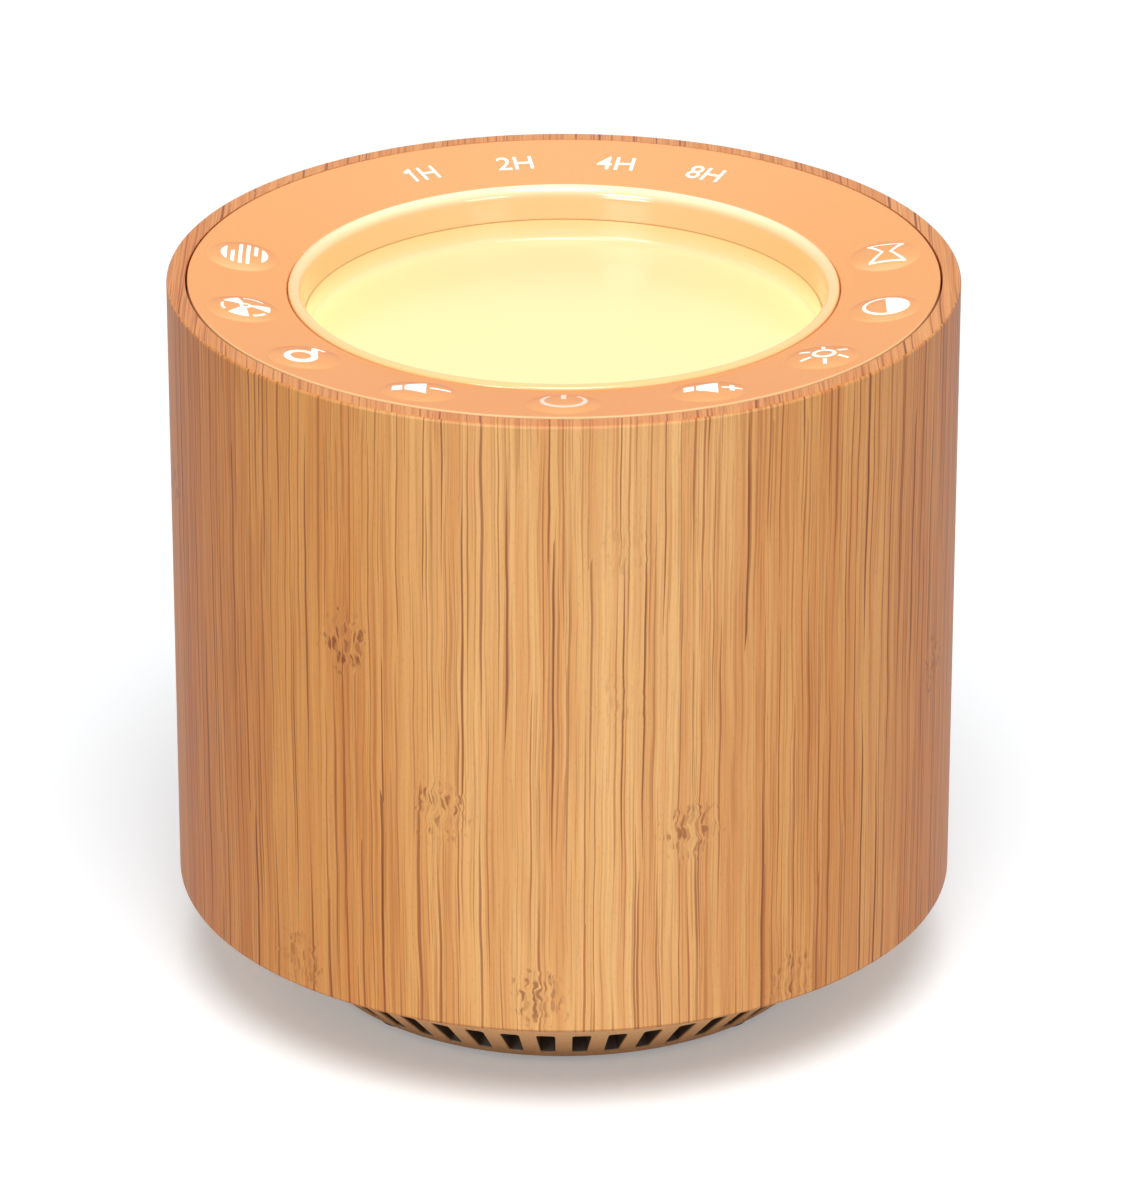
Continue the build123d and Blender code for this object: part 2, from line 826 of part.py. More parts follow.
terminal_top = basket_shelf + terminal_height
straight_run = wire_run * (speaker_header - terminal_top)
speaker_routes = [
    [
        (across, header_middle, speaker_header),
        (across, header_middle, speaker_header - straight_run),
        (across, terminal_place, terminal_top + straight_run),
        (across, terminal_place, terminal_top),
    ]
    for across in (-wire_spacing / 2, wire_spacing / 2)
]
speaker_cable = wires(speaker_routes)
save(speaker_cable, "speaker_cable")

# ================================================================ speaker baffle
with BuildPart() as speaker_baffle:
    with BuildSketch(Plane.XY.offset(base_seat)):
        Circle(baffle_radius)
        Circle(opening_radius, mode=Mode.SUBTRACT)
        with Locations(*pillar_places):
            Circle(large_shank + screw_play, mode=Mode.SUBTRACT)
    extrude(amount=baffle_thickness)
    with BuildSketch(Plane.XY.offset(floor_top)):
        with Locations(*foot_places):
            Circle(post_radius)
    extrude(amount=base_seat - floor_top)
    with BuildSketch(Plane.XY.offset(baffle_top)):
        with Locations(*foot_places):
            Circle(small_shank + thread_fit)
    extrude(amount=-screw_bite, mode=Mode.SUBTRACT)
    with BuildSketch(Plane.XY.offset(floor_top)):
        with Locations(*foot_places):
            Circle(large_shank + thread_fit)
    extrude(amount=screw_bite + screw_tip_room, mode=Mode.SUBTRACT)
save(speaker_baffle, "speaker_baffle")

chassis_screws = screws(
    pillar_places,
    base_seat,
    baffle_thickness + screw_bite,
    large_shank,
    large_head,
    large_head_height,
)
save(chassis_screws, "chassis_screws")

# ================================================================ speaker
with BuildPart() as speaker_gasket:
    with BuildSketch(Plane.XY.offset(baffle_top)):
        Circle(basket_flange_radius)
        Circle(gasket_inner, mode=Mode.SUBTRACT)
        with Locations(*foot_places):
            Circle(small_shank + screw_play, mode=Mode.SUBTRACT)
    extrude(amount=gasket_thickness)
save(speaker_gasket, "speaker_gasket")

with BuildPart() as speaker_basket:
    with BuildSketch(Plane.XZ):
        Polygon(
            (basket_inner, basket_front),
            (basket_flange_radius, basket_front),
            (basket_flange_radius, basket_shelf),
            (basket_inner + basket_sheet, basket_shelf),
            (basket_back_radius + basket_sheet, plate_bottom),
            (plate_bore, plate_bottom),
            (plate_bore, plate_bottom - basket_sheet),
            (basket_back_radius, plate_bottom - basket_sheet),
            (basket_inner, basket_shelf),
        )
    revolve(axis=Axis.Z)
    with BuildSketch(Plane.XY.offset(basket_front)):
        with Locations(*foot_places):
            Circle(small_shank + screw_play)
    extrude(amount=basket_sheet, mode=Mode.SUBTRACT)
    with Locations((0, 0, (basket_shelf + plate_bottom - basket_sheet) / 2)):
        with PolarLocations((basket_inner + basket_back_radius) / 2, basket_windows, foot_start):
            Box(basket_inner - plate_bore, window_width, window_height, mode=Mode.SUBTRACT)
save(speaker_basket, "speaker_basket")

with BuildPart() as speaker_screws:
    with BuildSketch(Plane.XY.offset(basket_shelf)):
        with Locations(*foot_places):
            Circle(small_head)
    extrude(amount=small_head_height)
    with BuildSketch(Plane.XY.offset(basket_shelf)):
        with Locations(*foot_places):
            Circle(small_shank)
    extrude(amount=-basket_sheet - gasket_thickness - screw_bite + screw_tip_room)
save(speaker_screws, "speaker_screws")

with BuildPart() as speaker_terminals:
    with BuildSketch(Plane.XY.offset(basket_shelf)):
        with Locations((0, terminal_place)):
            Rectangle(terminal_width, terminal_sheet)
    extrude(amount=terminal_height)
save(speaker_terminals, "speaker_terminals")

with BuildPart() as front_plate:
    with BuildSketch(Plane.XY.offset(plate_bottom)):
        Circle(plate_radius)
        Circle(plate_bore, mode=Mode.SUBTRACT)
    extrude(amount=front_plate_thickness)
save(front_plate, "front_plate")

with BuildPart() as speaker_magnet:
    with BuildSketch(Plane.XY.offset(plate_top)):
        Circle(plate_radius + magnet_overhang)
        Circle(plate_bore + magnet_bore_margin, mode=Mode.SUBTRACT)
    extrude(amount=magnet_height)
save(speaker_magnet, "speaker_magnet")

with BuildPart() as pole_yoke:
    with BuildSketch(Plane.XY.offset(plate_bottom)):
        Circle(pole_radius)
    extrude(amount=magnet_top - plate_bottom)
    with BuildSketch(Plane.XY.offset(magnet_top)):
        Circle(plate_radius)
    extrude(amount=yoke_thickness)
save(pole_yoke, "pole_yoke")

with BuildPart() as voice_coil:
    with BuildSketch(Plane.XY.offset(coil_bottom)):
        Circle(coil_outer)
        Circle(coil_radius, mode=Mode.SUBTRACT)
    extrude(amount=coil_length)
save(voice_coil, "voice_coil")

with BuildPart() as speaker_cone:
    with BuildSketch(Plane.XZ):
        Polygon(
            (coil_outer, coil_bottom),
            (roll_inner - soft_gap, cone_edge),
            (roll_inner - soft_gap, cone_edge + cone_sheet),
            (coil_outer, coil_bottom + cone_sheet),
        )
    revolve(axis=Axis.Z)
save(speaker_cone, "speaker_cone")

cap_edge = coil_bottom + cone_sheet
cap_radius = ((coil_radius - soft_gap) ** 2 + dust_cap_height**2) / (2 * dust_cap_height)
with BuildPart() as dust_cap:
    with Locations((0, 0, cap_edge - dust_cap_height + cap_radius)):
        Sphere(cap_radius)
        Sphere(cap_radius - dust_cap_sheet, mode=Mode.SUBTRACT)
    split(bisect_by=Plane.XY.offset(cap_edge), keep=Keep.BOTTOM)
save(dust_cap, "dust_cap")

with BuildPart() as cone_surround:
    with BuildSketch(Plane.XZ):
        with Locations(((roll_inner + roll_outer) / 2, cone_edge)):
            Circle(roll_width / 2)
            Circle(roll_width / 2 - roll_sheet, mode=Mode.SUBTRACT)
            Rectangle(
                roll_width, roll_width, align=(Align.CENTER, Align.MIN), mode=Mode.SUBTRACT
            )
    revolve(axis=Axis.Z)
save(cone_surround, "cone_surround")

spider_inner = coil_outer + soft_gap
spider_outer = basket_wall(spider_height + spider_wave) - soft_gap
spider_steps = 2 * spider_waves
spider_line = []
for i in range(spider_steps + 1):
    radius = spider_inner + (spider_outer - spider_inner) * i / spider_steps
    spider_line.append((radius, spider_height + spider_wave * (i % 2)))
with BuildPart() as cone_spider:
    with BuildSketch(Plane.XZ):
        Polygon(
            *spider_line,
            *[(radius, height - spider_sheet) for radius, height in reversed(spider_line)],
        )
    revolve(axis=Axis.Z)
save(cone_spider, "cone_spider")

# ================================================================ base
with BuildPart() as base_grille:
    with BuildSketch(Plane.XZ):
        Polygon(
            (0, grille_bottom),
            (grille_foot, grille_bottom),
            (sleeve_bore, sleeve_bottom),
            (panel_outer, sleeve_bottom),
            (panel_outer, base_seat),
            (lip_inner, base_seat),
            (lip_inner, cone_face(lip_inner, grille_wall)),
            (grille_foot, cone_face(grille_foot, grille_wall)),
            (grille_foot, floor_top),
            (deflector_radius, floor_top),
            (deflector_tip, floor_top + deflector_height - grille_round),
            (0, floor_top + deflector_height),
        )
    revolve(axis=Axis.Z)
    rims = base_grille.edges().filter_by(GeomType.CIRCLE)
    foot_rim = rims.filter_by(lambda rim: rim.arc_center.Z < grille_bottom + touch_gap)
    fillet(foot_rim, grille_round)
    # Pockets for the feet, with the heads of the base screws sunk above them.
    with BuildSketch(Plane.XY.offset(grille_bottom)):
        with Locations(*foot_places):
            Circle(foot_radius + hairline)
    extrude(amount=foot_thickness - foot_proud, mode=Mode.SUBTRACT)
    with BuildSketch(Plane.XY.offset(foot_thickness)):
        with Locations(*foot_places):
            Circle(large_head + screw_play)
    extrude(amount=large_head_height + screw_play, mode=Mode.SUBTRACT)
    with BuildSketch(Plane.XY.offset(foot_thickness)):
        with Locations(*foot_places):
            Circle(large_shank + screw_play)
    extrude(amount=floor_top - foot_thickness, mode=Mode.SUBTRACT)

slot_end = slot_start + slot_length
slot_low = along_cone(slot_start, 0)
slot_high = along_cone(slot_end, 0)
slot_middle = (slot_low + slot_high) / 2
low_width = 2 * pi * slot_low.X / slot_count - slot_bar
high_width = 2 * pi * slot_high.X / slot_count - slot_bar
slot_plane = Plane(
    (slot_middle.X, 0, slot_middle.Y),
    x_dir=(0, 1, 0),
    z_dir=(grille_drop, 0, -grille_inset),
)
with BuildPart() as slot_cutter:
    with BuildSketch(slot_plane) as slot_outline:
        Polygon(
            (-low_width / 2, -slot_length / 2),
            (low_width / 2, -slot_length / 2),
            (high_width / 2, slot_length / 2),
            (-high_width / 2, slot_length / 2),
        )
        fillet(slot_outline.vertices(), slot_round)
    extrude(amount=grille_wall + base_seat_depth, both=True)

with base_grille:
    with PolarLocations(0, slot_count, front_angle + 180.0 / slot_count):
        add(slot_cutter.part, mode=Mode.SUBTRACT)
save(base_grille, "base_grille")

# Cloth that lines the cone behind the slots.
screen_low = grille_foot + screen_start
screen_high = lip_inner - screen_stop
with BuildPart() as grille_screen:
    with BuildSketch(Plane.XZ):
        Polygon(
            (screen_low, cone_face(screen_low, grille_wall)),
            (screen_high, cone_face(screen_high, grille_wall)),
            (screen_high, cone_face(screen_high, grille_wall + screen_thickness)),
            (screen_low, cone_face(screen_low, grille_wall + screen_thickness)),
        )
    revolve(axis=Axis.Z)
save(grille_screen, "grille_screen")

base_screw_start = foot_thickness + screw_play + large_head_height
base_screws = screws(
    foot_places,
    base_screw_start,
    floor_top - base_screw_start + screw_bite,
    large_shank,
    large_head,
    large_head_height,
)
save(base_screws, "base_screws")

with BuildPart() as rubber_feet:
    with BuildSketch():
        with Locations(*foot_places):
            Circle(foot_radius)
    extrude(amount=foot_thickness)
save(rubber_feet, "rubber_feet")
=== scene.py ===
# %% [markdown]
# # A bamboo sound machine, dressed in Blender
#
# The engineering model gives every part its place and its motion.  This lesson loads that model,
# rebuilds what the eye meets first (the bamboo tube, the lamp's bead, the keys and their signs),
# and gives every other part the finish that its real material has.  All lengths are written in
# millimetres and turned to metres, Blender's unit, at the last moment.

import json
import math

import bmesh
import bpy
from mathutils import Matrix, Vector


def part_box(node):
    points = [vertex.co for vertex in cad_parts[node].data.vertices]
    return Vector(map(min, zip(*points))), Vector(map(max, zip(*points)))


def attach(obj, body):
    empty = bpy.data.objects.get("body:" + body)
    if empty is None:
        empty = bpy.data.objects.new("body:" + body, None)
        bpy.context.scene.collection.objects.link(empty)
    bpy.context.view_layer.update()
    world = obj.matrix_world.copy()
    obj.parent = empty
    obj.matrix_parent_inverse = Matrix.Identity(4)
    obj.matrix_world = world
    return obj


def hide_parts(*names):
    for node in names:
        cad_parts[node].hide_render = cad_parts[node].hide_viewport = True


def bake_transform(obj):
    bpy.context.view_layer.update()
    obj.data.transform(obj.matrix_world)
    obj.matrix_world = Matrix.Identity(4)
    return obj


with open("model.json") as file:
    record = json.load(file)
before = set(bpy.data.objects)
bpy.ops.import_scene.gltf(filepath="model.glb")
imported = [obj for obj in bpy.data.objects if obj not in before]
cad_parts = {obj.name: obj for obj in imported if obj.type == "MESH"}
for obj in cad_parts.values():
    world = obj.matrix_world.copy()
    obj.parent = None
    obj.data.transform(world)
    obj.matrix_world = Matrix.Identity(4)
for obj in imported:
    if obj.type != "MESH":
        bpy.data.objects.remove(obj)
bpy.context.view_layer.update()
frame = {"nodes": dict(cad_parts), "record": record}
nodes = frame["nodes"]
MM = 0.001

# %% [markdown]
# ## Tools of the bench
#
# An operator acts on everything that is selected, so each step starts by selecting one object, or
# only those faces and edges that lie in the right place.  These few helpers do that.

# %% Selecting


def only(piece):
    """Leaves one object selected and active, in object mode."""
    if bpy.context.object and bpy.context.object.mode != "OBJECT":
        bpy.ops.object.mode_set(mode="OBJECT")
    bpy.ops.object.select_all(action="DESELECT")
    piece.select_set(True)
    bpy.context.view_layer.objects.active = piece
    return piece


def pick(piece, kind, test):
    """Goes into edit mode and selects the verts, edges or faces that pass a test."""
    only(piece)
    bpy.ops.object.mode_set(mode="EDIT")
    bpy.ops.mesh.select_mode(type={"verts": "VERT", "edges": "EDGE", "faces": "FACE"}[kind])
    bpy.ops.mesh.select_all(action="DESELECT")
    mesh = bmesh.from_edit_mesh(piece.data)
    chosen = [part for part in getattr(mesh, kind) if test(part)]
    for part in chosen:
        part.select_set(True)
    mesh.select_flush_mode()
    bmesh.update_edit_mesh(piece.data)
    return len(chosen)


print("ready to select")

# %% Placing, cutting and finishing a piece


def bake_place(piece):
    """Puts a piece's place and size into its mesh, so that its object sits at the origin."""
    only(piece)
    bpy.ops.object.transform_apply(location=True, rotation=True, scale=True)
    return piece


def added(name):
    """Names the object that an operator has just added."""
    piece = bpy.context.object
    piece.name = name
    piece.data.name = name
    return piece


def carve(piece, tool, operation="DIFFERENCE"):
    """Cuts a piece with another mesh, adds it or keeps what both share, and drops the tool."""
    only(piece)
    modifier = piece.modifiers.new("carve", "BOOLEAN")
    modifier.operation = operation
    modifier.object = tool
    modifier.solver = "EXACT"
    bpy.ops.object.modifier_apply(modifier=modifier.name)
    bpy.data.objects.remove(tool)
    return piece


def tidy(piece, angle=35):
    """Merges doubles, turns the faces outwards and shades them smooth up to an angle."""
    pick(piece, "verts", lambda vert: True)
    bpy.ops.mesh.remove_doubles(threshold=0.0005 * MM)
    bpy.ops.mesh.select_all(action="SELECT")
    bpy.ops.mesh.normals_make_consistent(inside=False)
    only(piece)
    bpy.ops.object.shade_smooth_by_angle(angle=math.radians(angle))
    return piece


def on_ring(edge, radius, height):
    """True for an edge of the ring round the Z axis with this radius and height."""
    ends = [vert.co / MM for vert in edge.verts]
    return all(abs(end.z - height) < 0.01 and abs(end.xy.length - radius) < 0.01 for end in ends)


print("ready to cut")

# %% [markdown]
# A lathe turns a profile round an axis.  In Blender a ring of edges does the same: it is extruded
# from one profile point to the next and resized on the way.  Where the profile closes on itself,
# the last ring lands on the first one and merging doubles joins them.

# %% The lathe


def turn(name, profile, steps=256):
    """Turns a closed profile of (radius, height) points round the Z axis."""
    (radius, height), rest = profile[0], profile[1:] + profile[:1]
    bpy.ops.object.select_all(action="DESELECT")
    bpy.ops.mesh.primitive_circle_add(
        vertices=steps, radius=radius * MM, location=(0, 0, height * MM)
    )
    piece = bake_place(added(name))
    pick(piece, "verts", lambda vert: True)
    for next_radius, next_height in rest:
        bpy.ops.mesh.extrude_region_move(
            TRANSFORM_OT_translate={"value": (0, 0, (next_height - height) * MM)}
        )
        factor = next_radius / radius
        bpy.ops.transform.resize(
            value=(factor, factor, 1), center_override=(0, 0, next_height * MM)
        )
        radius, height = next_radius, next_height
    only(piece)
    return tidy(piece)


print("lathe ready")

# %% [markdown]
# ## Materials
#
# Colours are picked as sRGB hex values, as on a screen, while the renderer works in linear light,
# so one function converts them.  Another adds a shader node with its settings and its links.  Its
# inputs are given in their order or by name, and each is a number, a hex colour or another node's
# output.

# %% Colour and node helpers
SMOOTH = {"interpolation_type": "SMOOTHSTEP"}
COLOURS = {"data_type": "RGBA"}
ON_PLANE = {"noise_dimensions": "2D"}


def linear(code, alpha=1.0):
    """An sRGB hex colour as the linear values that a shader wants."""
    parts = [int(code[i : i + 2], 16) / 255 for i in (1, 3, 5)]
    return [c / 12.92 if c <= 0.04045 else ((c + 0.055) / 1.055) ** 2.4 for c in parts] + [alpha]


def node(tree, kind, inputs=(), **settings):
    """Adds a shader node with its settings, its values and the links into it; gives its outputs."""
    made = tree.nodes.new("ShaderNode" + kind)
    for setting, value in settings.items():
        setattr(made, setting, value)
    for socket, value in inputs.items() if isinstance(inputs, dict) else enumerate(inputs):
        if isinstance(value, bpy.types.NodeSocket):
            tree.links.new(value, made.inputs[socket])
        else:
            made.inputs[socket].default_value = linear(value) if isinstance(value, str) else value
    return made.outputs


def material(name, roughness, specular=0.5, metallic=0.0, ior=1.5):
    """A new material: its tree and its Principled shader, whose plain numbers are set here."""
    made = bpy.data.materials.new(name)
    made.use_nodes = True
    shader = made.node_tree.nodes["Principled BSDF"]
    shader.inputs["Roughness"].default_value = roughness
    shader.inputs["Specular IOR Level"].default_value = specular
    shader.inputs["Metallic"].default_value = metallic
    shader.inputs["IOR"].default_value = ior
    return made, made.node_tree, shader


def connect(tree, output, shader, socket):
    """Links an output to a named socket of the shader."""
    tree.links.new(output, shader.inputs[socket])


def away_from_axis(tree, place):
    """How far a place is from the machine's upright axis."""
    flat = node(tree, "VectorMath", (place, (1, 1, 0)), operation="MULTIPLY")[0]
    return node(tree, "VectorMath", (flat,), operation="LENGTH")["Value"]


def finish_with(piece, made):
    """Gives a piece this one material."""
    piece.data.materials.clear()
    piece.data.materials.append(made)
    return piece


print("bench ready")

# %% [markdown]
# ## The camera
#
# A long lens from nearly a metre away, looking down by 24 degrees, keeps the tube's sides almost
# parallel, as in a catalogue.

# %% Camera
LENS = 216.27
CAMERA_PLACE = (0.345, -844.67, 429.48)
CAMERA_TILT = 65.7821

lens = bpy.data.cameras.new("catalogue_lens")
lens.lens = LENS
lens.sensor_width = 36
lens.clip_start, lens.clip_end = 0.05, 20
camera = bpy.data.objects.new("camera", lens)
bpy.context.scene.collection.objects.link(camera)
camera.location = Vector(CAMERA_PLACE) * MM
camera.rotation_euler = (math.radians(CAMERA_TILT), 0, 0)
bpy.context.scene.camera = camera
print("camera at", [round(x, 4) for x in camera.location])

# %% [markdown]
# ## The bamboo tube
#
# The case is a thick tube turned from laminated bamboo, with a step at each end that takes the
# panel and the base, and a softened edge.  It could be two cylinders and a Boolean, but a lathe
# profile gives the steps directly.  The round edges are a bevel on the two outer rings, and the
# recess for the plug's grip is a rounded block cut through the back wall.

# %% Turn the tube and bevel its rims
TUBE_RADIUS, TUBE_BORE, TUBE_SEAT = 50.0, 46.0, 47.65
TUBE_BOTTOM, TUBE_TOP = 13.0, 94.8
PANEL_SEAT, BASE_SEAT = 88.8, 14.5
RIM_ROUND, MOUTH_ROUND = 0.45, 0.12

tube = turn(
    "bamboo_tube",
    [
        (TUBE_RADIUS, TUBE_BOTTOM),
        (TUBE_RADIUS, TUBE_TOP),
        (TUBE_SEAT, TUBE_TOP),
        (TUBE_SEAT, PANEL_SEAT),
        (TUBE_BORE, PANEL_SEAT),
        (TUBE_BORE, BASE_SEAT),
        (TUBE_SEAT, BASE_SEAT),
        (TUBE_SEAT, TUBE_BOTTOM),
    ],
    steps=384,
)
for radius, soft, parts in ((TUBE_RADIUS, RIM_ROUND, 5), (TUBE_SEAT, MOUTH_ROUND, 2)):
    count = pick(
        tube,
        "edges",
        lambda edge: on_ring(edge, radius, TUBE_TOP) or on_ring(edge, radius, TUBE_BOTTOM),
    )
    bpy.ops.mesh.bevel(offset=soft * MM, segments=parts, affect="EDGES")
    print("bevelled", count, "edges at radius", radius)

# %% Cut the recess for the power plug
RECESS = (12.6, 8.0, 7.4)
RECESS_HEIGHT, RECESS_ROUND = 27.0, 2.4

bpy.ops.object.mode_set(mode="OBJECT")
bpy.ops.object.select_all(action="DESELECT")
bpy.ops.mesh.primitive_cube_add(
    size=MM, location=(0, (TUBE_BORE + TUBE_RADIUS) / 2 * MM, RECESS_HEIGHT * MM), scale=RECESS
)
plug_shape = bake_place(added("plug_shape"))
pick(plug_shape, "edges", lambda edge: abs(edge.verts[0].co.y - edge.verts[1].co.y) > MM)
bpy.ops.mesh.bevel(offset=RECESS_ROUND * MM, segments=8, affect="EDGES")
only(plug_shape)
carve(tube, plug_shape)
tidy(tube, angle=30)
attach(tube, "housing")
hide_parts("bamboo_sleeve")
print("tube faces:", len(tube.data.polygons))

# %% [markdown]
# Grain follows the wood, so the tube gets its own map in millimetres: on the wall the map runs
# round the tube and up it, with its seam at the back, and on the cut rim it runs straight across,
# because there the saw went through the strips.

# %% Map the tube in millimetres


def map_grain(piece):
    """Writes a UV map: arc length and height on walls, and plain x and y on flat ends."""
    grain_map = piece.data.uv_layers.new(name="grain")
    for face in piece.data.polygons:
        flat_end = abs(face.normal.z) > 0.75
        turned = math.atan2(face.center.x, -face.center.y)
        for corner in face.loop_indices:
            place = piece.data.vertices[piece.data.loops[corner].vertex_index].co / MM
            if flat_end:
                grain_map.data[corner].uv = (place.x, TUBE_TOP - TUBE_RADIUS - place.y)
                continue
            angle = math.atan2(place.x, -place.y)
            angle += 2 * math.pi * round((turned - angle) / (2 * math.pi))
            grain_map.data[corner].uv = (angle * TUBE_RADIUS, place.z)
    return grain_map


map_grain(tube)
print("grain map:", len(tube.data.uv_layers["grain"].data), "corners")

# %% [markdown]
# ## Bamboo
#
# Bamboo strips are split from the culm, dried, planed and glued side by side.  Each strip shows
# its fibre bundles as fine lines, straight and nearly parallel, reddish brown where the cut meets
# them lengthwise, and here and there a node: a patch of short, wavy, broken dashes where a joint
# of the culm grew.  The surface is sanded and oiled, so it has a satin sheen.
#
# A stretched noise alone looks like smoke, so the bundles are drawn as strokes: each cell of a
# stretched Voronoi texture holds one stroke round its own centre, with tapered ends.

# %% Bamboo: the places of the nodes
BUNDLE_PALE, BUNDLE_RED, BUNDLE_DARK = "#C98A52", "#B06636", "#8E4A28"
TAN_PALE, TAN_DEEP = "#F9C381", "#E8A565"
NODE_PLACES = [
    (-28.4, 63.0, 1.0),
    (-15.4, 42.6, 0.9),
    (15.8, 39.9, 0.8),
    (-36.0, 17.0, 0.7),
    (-2.9, 17.7, 0.9),
    (30.1, 16.0, 0.7),
    (8.0, 78.3, 0.25),
    (7.0, 58.0, 0.25),
    (60.0, 49.0, 0.8),
    (-68.0, 71.0, 0.9),
    (88.0, 74.0, 1.0),
    (-96.0, 33.0, 0.8),
    (112.0, 30.0, 0.9),
    (-124.0, 62.0, 1.0),
    (140.0, 56.0, 0.8),
]
NODE_WIDTH, NODE_HEIGHT, NODE_RAGGED = 4.2, 4.8, 1.2
NODE_CORE, NODE_END = 0.4, 1.0

bamboo, tree, shader = material("oiled_bamboo", roughness=0.46, specular=0.35)
grain = node(tree, "UVMap", uv_map="grain")["UV"]
cloud = node(tree, "TexNoise", dict(Vector=grain, Scale=0.9, Detail=1.0), **ON_PLANE)[0]
ragged = node(tree, "Math", (cloud, NODE_RAGGED, -NODE_RAGGED / 2), operation="MULTIPLY_ADD")[0]
shrunk = (1 / NODE_WIDTH, 1 / NODE_HEIGHT, 0)
at_node = 0.0
for x, z, strength in NODE_PLACES:
    offset = node(tree, "VectorMath", (grain, (x, z, 0)), operation="SUBTRACT")[0]
    offset = node(tree, "VectorMath", (offset, shrunk), operation="MULTIPLY")[0]
    away = node(tree, "VectorMath", (offset,), operation="LENGTH")["Value"]
    away = node(tree, "Math", (away, ragged), operation="ADD")[0]
    near = node(tree, "MapRange", (away, NODE_CORE, NODE_END, strength, 0.0), **SMOOTH)[0]
    at_node = node(tree, "Math", (at_node, near), operation="MAXIMUM")[0]
print("nodes of the culm:", len(NODE_PLACES))

# %% [markdown]
# The lines drift sideways by less than a millimetre over the tube's height, waver a little on the
# way, and swing where they pass a node.

# %% Bamboo: drift, swing and the strokes of the fibre bundles
DRIFT, WAVER, SWING = 1.5, 0.5, 1.5
DRIFT_RATE, WAVER_RATE, SWING_RATE = (0.022, 0.012), (0.3, 0.07), (0.5, 0.5)
STROKE_TAPER, STROKE_WIDTHS, STROKE_TONES = (0.2, 0.6), (0.6, 1.5), (0.15, 1.0)


def sway(rate, amount):
    """A sideways shift by this amount in millimetres, to and fro at this rate per millimetre."""
    place = node(tree, "VectorMath", (grain, (*rate, 0)), operation="MULTIPLY")[0]
    cloud = node(tree, "TexNoise", dict(Vector=place, Scale=1.0, Detail=1.0), **ON_PLANE)[0]
    return node(tree, "Math", (cloud, amount, -amount / 2), operation="MULTIPLY_ADD")[0]


drift = (sway(DRIFT_RATE, DRIFT), sway(WAVER_RATE, WAVER))
sideways = node(tree, "Math", drift, operation="ADD")[0]
swing = (sway(SWING_RATE, SWING), at_node, sideways)
sideways = node(tree, "Math", swing, operation="MULTIPLY_ADD")[0]
sideways = node(tree, "CombineXYZ", (sideways,))[0]
bent = node(tree, "VectorMath", (grain, sideways), operation="ADD")[0]


def strokes(pitch, length, width, shift):
    """One layer of tapered strokes: spacing, length and width in millimetres."""
    per_cell, start = (1 / pitch, 1 / length, 0), (shift, 3.7 * shift, 0)
    moved = node(tree, "VectorMath", (bent, per_cell, start), operation="MULTIPLY_ADD")[0]
    cells = node(tree, "TexVoronoi", dict(Vector=moved, Scale=1.0), voronoi_dimensions="2D")
    off = node(tree, "VectorMath", (moved, cells["Position"]), operation="SUBTRACT")[0]
    off = node(tree, "VectorMath", (off,), operation="ABSOLUTE")[0]
    off = node(tree, "SeparateXYZ", (off,))
    chance = node(tree, "SeparateColor", (cells["Color"],))
    half = width / pitch / 2
    widths = [share * half for share in STROKE_WIDTHS]
    taper = node(tree, "MapRange", (off["Y"], *STROKE_TAPER, 1.0, 0.0), **SMOOTH)[0]
    reach = node(tree, "MapRange", (chance[1], 0, 1, *widths), **SMOOTH)[0]
    reach = node(tree, "Math", (taper, reach), operation="MULTIPLY")[0]
    inside = node(tree, "Math", (reach, off["X"]), operation="SUBTRACT")[0]
    core = node(tree, "MapRange", (inside, -0.5 * half, 0.5 * half), **SMOOTH)[0]
    tone = node(tree, "MapRange", (chance[0], 0, 1, *STROKE_TONES), **SMOOTH)[0]
    return node(tree, "Math", (core, tone), operation="MULTIPLY")[0]


dark_lines = strokes(pitch=2.7, length=46.0, width=0.24, shift=0.31)
red_lines = strokes(pitch=1.3, length=40.0, width=0.2, shift=7.7)
fine_lines = strokes(pitch=0.74, length=26.0, width=0.17, shift=19.3)
hair_lines = strokes(pitch=0.42, length=13.0, width=0.14, shift=33.1)
dashes = strokes(pitch=0.66, length=1.9, width=0.36, shift=41.9)
dashes = node(tree, "Math", (dashes, at_node), operation="MULTIPLY")[0]
print("bamboo strokes: 5 layers")

# %% [markdown]
# The ground between the lines is an even tan, a little deeper in some strips, where the lines are
# also denser, and speckled with open pores.  The lines are laid over it in reddish brown and the
# dashes in a darker brown.  Turned over, the same layers are the bump: each bundle lies a few
# hundredths of a millimetre below the sanded ground.

# %% Bamboo: ground, lines and bump
STRIP_RATE, STREAK_RATE, PORE_RATE = (0.1, 0.002), (0.7, 0.014), (4.5, 1.1)
STRIP_DEEP, STREAK_DEEP, PORE_DEEP, DASH_DEEP = 0.3, 0.7, 0.3, 0.85
BUNDLE_SUNK, BUNDLE_BUMP = 0.02, 0.3


def clouds(rate, detail, low, high, strength):
    """Clouds on the drifting grain, from nothing to this strength."""
    place = node(tree, "VectorMath", (bent, (*rate, 0)), operation="MULTIPLY")[0]
    cloud = node(tree, "TexNoise", dict(Vector=place, Scale=1.0, Detail=detail), **ON_PLANE)[0]
    return node(tree, "MapRange", (cloud, low, high, 0.0, strength), **SMOOTH)[0]


